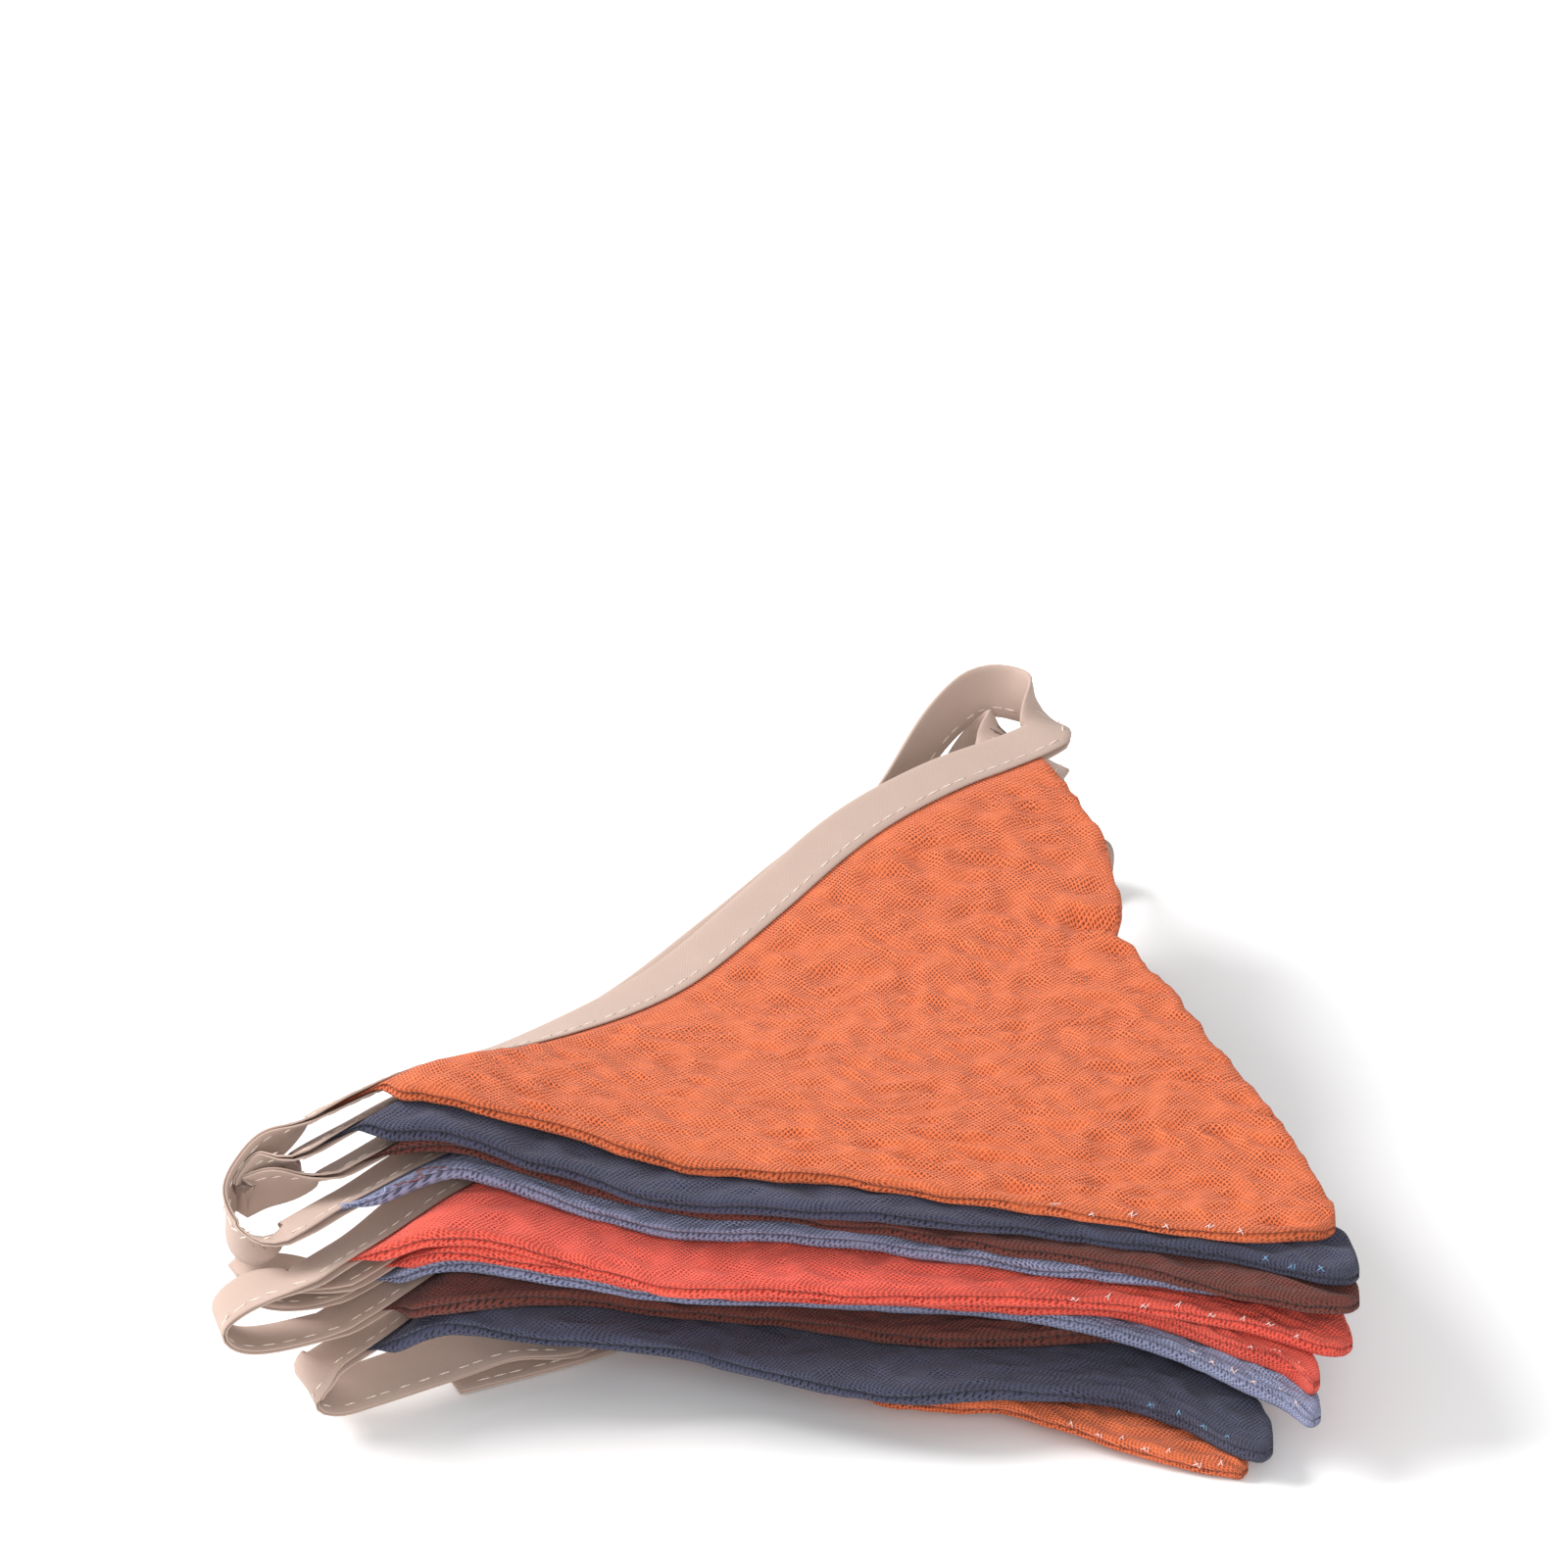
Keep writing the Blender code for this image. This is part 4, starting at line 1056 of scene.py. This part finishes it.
def running_stitches(spacing, pitch, from_lips, wall):
    """Middles and directions of the sewing along the tape's lips, on both of its walls."""
    centres, ways, normals, open_share, along = tape_path(spacing)
    surface = (TAPE_CLOSED + (TAPE_OPEN - TAPE_CLOSED) * open_share[:, None]) / 2 + wall
    lengths = lengths_along(centres)
    wanted = np.arange(pitch, lengths[-1] - pitch, pitch)
    k = np.searchsorted(lengths, wanted)
    line = TAPE_WIDTH / 2 - from_lips
    points = [centres[k] + ways[k] * line + normals[k] * side * surface[k] for side in (1.0, -1.0)]
    outward = [normals[k] * side for side in (1.0, -1.0)]
    return np.concatenate(points), np.concatenate((along[k], along[k])), np.concatenate(outward)


def whip_stitches(row, first, last, count, columns, step, crinkle_height):
    """Middles and directions of the small crossing stitches that close one hem near its tip."""
    upper = lay_pennant(row, columns, step, crinkle_height)[0]
    distance = row_distances(side_length(row), step)[0]
    points, along, outward = [], [], []
    for j, from_tip in enumerate(np.linspace(first, last, count)):
        k = int(np.argmin(np.abs(distance - (distance[-1] - from_tip))))
        column = 4 + int(1.5 + 1.5 * math.sin(2.7 * j + row))
        here = upper[k, column]
        ahead = unit(upper[k + 1, column] - upper[k - 1, column])
        across = unit(upper[k, column + 1] - upper[k, column - 1])
        out = np.cross(ahead, across)
        out = unit(out if out[2] > 0 or abs(out[2]) < 0.05 else -out)
        if out[1] > 0 and abs(out[2]) < 0.3:
            out = -out
        for turn, shift in WHIP_STRANDS[:2 + j % 2]:
            angle = math.radians(turn + 24 * math.sin(3.1 * j + 5.0 * shift + row))
            way = ahead * math.cos(angle) + across * math.sin(angle)
            points.append(here + ahead * shift * 1.2 + out * 0.12)
            along.append(way)
            outward.append(out)
    return points, along, outward


def loose_thread(row, first, last, bow, columns, step, crinkle_height):
    """Middles and directions of short overlapping pieces of one thread that lies curled on a hem."""
    upper = lay_pennant(row, columns, step, crinkle_height)[0]
    rim = upper[:, LOOSE_COLUMN]
    rim = rim[np.argsort(rim[:, 0])]
    t = np.linspace(0.0, 1.0, LOOSE_PIECES)
    x = first + (last - first) * t
    line = np.stack([x] + [np.interp(x, rim[:, 0], rim[:, i]) for i in (1, 2)], axis=-1)
    curl = np.sin(math.pi * t)[:, None]
    line = line + curl * bow * LOOSE_BOW + LOOSE_LIFT
    line[:, 0] += bow * 0.5 * np.sin(2.0 * math.pi * t)
    along = unit(np.gradient(line, axis=0))
    return line, along, np.tile(LOOSE_OUTWARD, (len(t), 1))


def dress(thing, node):
    """Let a finished piece ride with the stack and stand for its CAD node."""
    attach(thing, "root")
    if node:
        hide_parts(node)


def colour_setting(name, thing, default):
    """Setting for one colour."""
    return bpy.props.FloatVectorProperty(
        name=name, description=f"Colour of the {thing}", default=default, subtype="COLOR")


def size_setting(name, description, default, low, high):
    """Setting for one size in millimetres."""
    return bpy.props.FloatProperty(name=name, description=description, default=default, min=low, max=high)


class BuntingGauze(bpy.types.PropertyGroup):
    """Sizes and colours of the gauze."""

    crinkle_height: size_setting("Crinkle height", "Height of the top pennant's crinkles", 0.8, 0.0, 1.0)
    thread_pitch: size_setting("Thread pitch", "Millimetres from one thread to the next", 0.68, 0.2, 2.0)
    # Strength of the painted shade in the gaps between the threads.
    gap_darkness: bpy.props.FloatProperty(
        name="Gap darkness", description="How dark the gaps between the threads look", default=0.95,
        min=0.0, max=1.0, subtype="FACTOR")
    orange: colour_setting("Orange", "orange gauze", (0.80, 0.172, 0.058))
    navy: colour_setting("Navy", "navy gauze", (0.062, 0.064, 0.115))
    brown: colour_setting("Brown", "brown gauze", (0.165, 0.037, 0.025))
    lavender: colour_setting("Lavender", "lavender gauze", (0.31, 0.33, 0.50))
    coral: colour_setting("Coral", "coral gauze", (0.92, 0.115, 0.072))


class BuntingTape(bpy.types.PropertyGroup):
    """Sizes and colour of the binding tape and its sewing."""

    wall: size_setting("Tape thickness", "Millimetres of one layer of the tape", 0.4, 0.2, 0.6)
    rib_pitch: size_setting("Rib pitch", "Millimetres from one woven rib to the next", 0.42, 0.1, 1.0)
    stitch_pitch: size_setting("Stitch pitch", "Millimetres from one stitch to the next", 3.7, 1.0, 8.0)
    stitch_length: bpy.props.FloatProperty(
        name="Stitch length", description="Length of one running stitch", default=0.003, subtype="DISTANCE",
        unit="LENGTH")
    thread_width: bpy.props.FloatProperty(
        name="Thread width", description="Thickness of the sewing thread", default=0.00032,
        subtype="DISTANCE", unit="LENGTH", precision=5)
    beige: colour_setting("Beige", "tape", (0.50, 0.37, 0.31))


class BuntingStage(bpy.types.PropertyGroup):
    """Light and viewing angle of the stage."""

    elevation: bpy.props.FloatProperty(
        name="Camera elevation", description="How far above the horizon the camera stands",
        default=math.radians(31.2), subtype="ANGLE", unit="ROTATION")
    distance: bpy.props.FloatProperty(
        name="Camera distance", description="Distance from the camera to the middle of the view",
        default=1.8, subtype="DISTANCE", unit="LENGTH")
    floor_shade: bpy.props.FloatProperty(
        name="Floor shade", description="How pale the floor is", default=0.93, min=0.0, max=1.0,
        subtype="FACTOR")


class BUNTING_OT_pennants(bpy.types.Operator):
    """Lay the ten gauze pennants of the folded stack"""

    bl_idname = "bunting.pennants"
    bl_label = "Gauze pennants"

    def execute(self, context):
        settings = context.scene.bunting_gauze
        materials = {}
        for row, pennant in enumerate(PENNANTS):
            colour_name = pennant[1]
            if colour_name not in materials:
                colour = tuple(getattr(settings, colour_name))
                materials[colour_name] = gauze_material(
                    f"Gauze {colour_name}", colour, GAP_SHADE_COLOURS[colour_name], settings)
            columns, step = grid_size(row)
            thing = build_pennant(row, columns, step, settings.crinkle_height)
            thing.data.materials.append(materials[colour_name])
            dress(thing, pennant[0])
            side_length(row) * MM
            flat_area(row)
        return {"FINISHED"}


class BUNTING_OT_tape(bpy.types.Operator):
    """Run the folded binding tape over the pennants and round its loops"""

    bl_idname = "bunting.tape"
    bl_label = "Binding tape"

    def execute(self, context):
        settings = context.scene.bunting_tape
        thing = build_tape(TAPE_STEP, settings.wall, TAPE_CLOSED, TAPE_OPEN)
        thing.data.materials.append(tape_material("Cotton tape", tuple(settings.beige), settings))
        dress(thing, "binding_tape")
        length = float(np.sum(np.linalg.norm(np.diff(tape_path(TAPE_STEP)[0], axis=0), axis=1)))
        return {"FINISHED"}


class BUNTING_OT_running_stitches(bpy.types.Operator):
    """Sew the tape with running stitches along its lips"""

    bl_idname = "bunting.running_stitches"
    bl_label = "Running stitches"

    def execute(self, context):
        settings = context.scene.bunting_tape
        points, along, outward = running_stitches(TAPE_STEP, settings.stitch_pitch, FROM_LIPS, settings.wall)
        material = thread_material("Tape thread", TAPE_THREAD)
        thing = lay_stitches("tape_sewing", points, along, outward, material, settings.stitch_length,
                             settings.thread_width, 0.12)
        dress(thing, None)
        return {"FINISHED"}


class BUNTING_OT_whip_stitches(bpy.types.Operator):
    """Close the hems near their tips with small hand stitches"""

    bl_idname = "bunting.whip_stitches"
    bl_label = "Hand stitches"

    def execute(self, context):
        crinkle_height = context.scene.bunting_gauze.crinkle_height
        for thread, colour in HEM_THREADS.items():
            sewn = [stitch for stitch in WHIP_STITCHES if stitch[4] == thread]
            points, along, outward = [], [], []
            for row, first, last, count, _ in sewn:
                columns, step = grid_size(row)
                laid = whip_stitches(row, first, last, count, columns, step, crinkle_height)
                points += laid[0]
                along += laid[1]
                outward += laid[2]
            material = thread_material(f"Hem thread {thread}", colour)
            thing = lay_stitches(f"hem_sewing_{thread}", points, along, outward, material,
                                 WHIP_LENGTH, WHIP_WIDTH, 0.3)
            dress(thing, None)
        return {"FINISHED"}


class BUNTING_OT_loose_threads(bpy.types.Operator):
    """Lay the few threads that came loose on the hems"""

    bl_idname = "bunting.loose_threads"
    bl_label = "Loose threads"

    def execute(self, context):
        settings = context.scene.bunting_gauze
        for colour in ("brown", "lavender"):
            laid = [loose_thread(row, first, last, bow, *grid_size(row), settings.crinkle_height)
                    for row, first, last, bow, name in LOOSE_THREADS if name == colour]
            points, along, outward = (np.concatenate(part) for part in zip(*laid))
            material = thread_material(f"Loose thread {colour}", tuple(getattr(settings, colour)))
            thing = lay_stitches(f"loose_threads_{colour}", points, along, outward, material,
                                 LOOSE_LENGTH, LOOSE_WIDTH, 0.1)
            dress(thing, None)
        return {"FINISHED"}


class BUNTING_OT_stage(bpy.types.Operator):
    """Set the pale floor, the soft studio light and the camera"""

    bl_idname = "bunting.stage"
    bl_label = "Stage"

    def execute(self, context):
        settings = context.scene.bunting_stage
        build_floor(settings.floor_shade)
        build_lights(context.scene)
        build_camera(context.scene, settings)
        return {"FINISHED"}


class BUNTING_PT_panel(bpy.types.Panel):
    """The bunting's pieces in the sidebar"""

    bl_label = "Bunting"
    bl_space_type = "VIEW_3D"
    bl_region_type = "UI"
    bl_category = "Bunting"

    def draw(self, context):
        for group, _ in PROPERTY_GROUPS:
            settings = getattr(context.scene, group)
            column = self.layout.column()
            for name in settings.__annotations__:
                column.prop(settings, name)
        for operator in OPERATORS:
            self.layout.operator(operator.bl_idname)


def grid_size(row):
    """Columns and row spacing of a pennant's grid: the top one shows all over, the others at their hems."""
    return TOP_GRID if row == 0 else LOWER_GRID


def flat_area(row):
    """Flat area of one side of a pennant, in square metres."""
    return (TOP_EDGE + TIP_WIDTH) / 2 * side_length(row) * MM * MM


def build_floor(shade):
    """Pale floor under the stack."""
    mesh = bpy.data.meshes.new("floor")
    corners = ((-1, -1), (1, -1), (1, 1), (-1, 1))
    mesh.from_pydata([(x * FLOOR_HALF, y * FLOOR_HALF, FLOOR_HEIGHT) for x, y in corners], [], [(0, 1, 2, 3)])
    floor = bpy.data.objects.new("floor", mesh)
    bpy.context.scene.collection.objects.link(floor)
    material, _, shader = new_material("Pale floor")
    shader.inputs["Base Color"].default_value = (shade, shade, shade, 1.0)
    shader.inputs["Roughness"].default_value = 0.9
    mesh.materials.append(material)


def build_lights(scene):
    """A large soft key from the left, a weaker light from the front and a bright surround."""
    for name, place, size, energy in STUDIO_LIGHTS:
        light = bpy.data.lights.new(name, "AREA")
        light.shape = "DISK"
        light.size = size
        light.energy = energy
        lamp = bpy.data.objects.new(name, light)
        lamp.location = place
        lamp.rotation_euler = (-Vector(place)).to_track_quat("-Z", "Y").to_euler()
        scene.collection.objects.link(lamp)
    world = bpy.data.worlds.new("Studio surround")
    world.use_nodes = True
    background = world.node_tree.nodes["Background"]
    background.inputs["Color"].default_value = (1.0, 1.0, 1.0, 1.0)
    background.inputs["Strength"].default_value = SURROUND_STRENGTH
    scene.world = world
    scene.view_settings.view_transform = "Standard"


def build_camera(scene, settings):
    """Camera in front of the stack, looking down on it."""
    up = Vector((0.0, math.sin(settings.elevation), math.cos(settings.elevation)))
    back = Vector((0.0, -math.cos(settings.elevation), math.sin(settings.elevation)))
    target = Vector((-CENTRE[0], -CENTRE[1], 0.0)) * MM + up * VIEW_MIDDLE
    data = bpy.data.cameras.new("camera")
    data.lens = LENS
    camera = bpy.data.objects.new("camera", data)
    turn = Matrix((Vector((1.0, 0.0, 0.0)), up, back)).transposed()
    camera.matrix_world = Matrix.Translation(target + back * settings.distance) @ turn.to_4x4()
    scene.collection.objects.link(camera)
    scene.camera = camera


PROPERTY_GROUPS = (
    ("bunting_gauze", BuntingGauze),
    ("bunting_tape", BuntingTape),
    ("bunting_stage", BuntingStage),
)
OPERATORS = (
    BUNTING_OT_pennants,
    BUNTING_OT_tape,
    BUNTING_OT_running_stitches,
    BUNTING_OT_whip_stitches,
    BUNTING_OT_loose_threads,
    BUNTING_OT_stage,
)


def register():
    """Register the settings, the operators and the panel."""
    for name, group in PROPERTY_GROUPS:
        bpy.utils.register_class(group)
        setattr(bpy.types.Scene, name, bpy.props.PointerProperty(type=group))
    for item in (*OPERATORS, BUNTING_PT_panel):
        bpy.utils.register_class(item)


def unregister():
    """Take the panel, the operators and the settings away again."""
    for item in (BUNTING_PT_panel, *reversed(OPERATORS)):
        bpy.utils.unregister_class(item)
    for name, group in reversed(PROPERTY_GROUPS):
        delattr(bpy.types.Scene, name)
        bpy.utils.unregister_class(group)


def main():
    """Build every piece in order."""
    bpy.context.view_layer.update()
    register()
    bpy.ops.bunting.pennants()
    bpy.ops.bunting.tape()
    bpy.ops.bunting.running_stitches()
    bpy.ops.bunting.whip_stitches()
    bpy.ops.bunting.loose_threads()
    bpy.ops.bunting.stage()


if __name__ == "__main__":
    main()
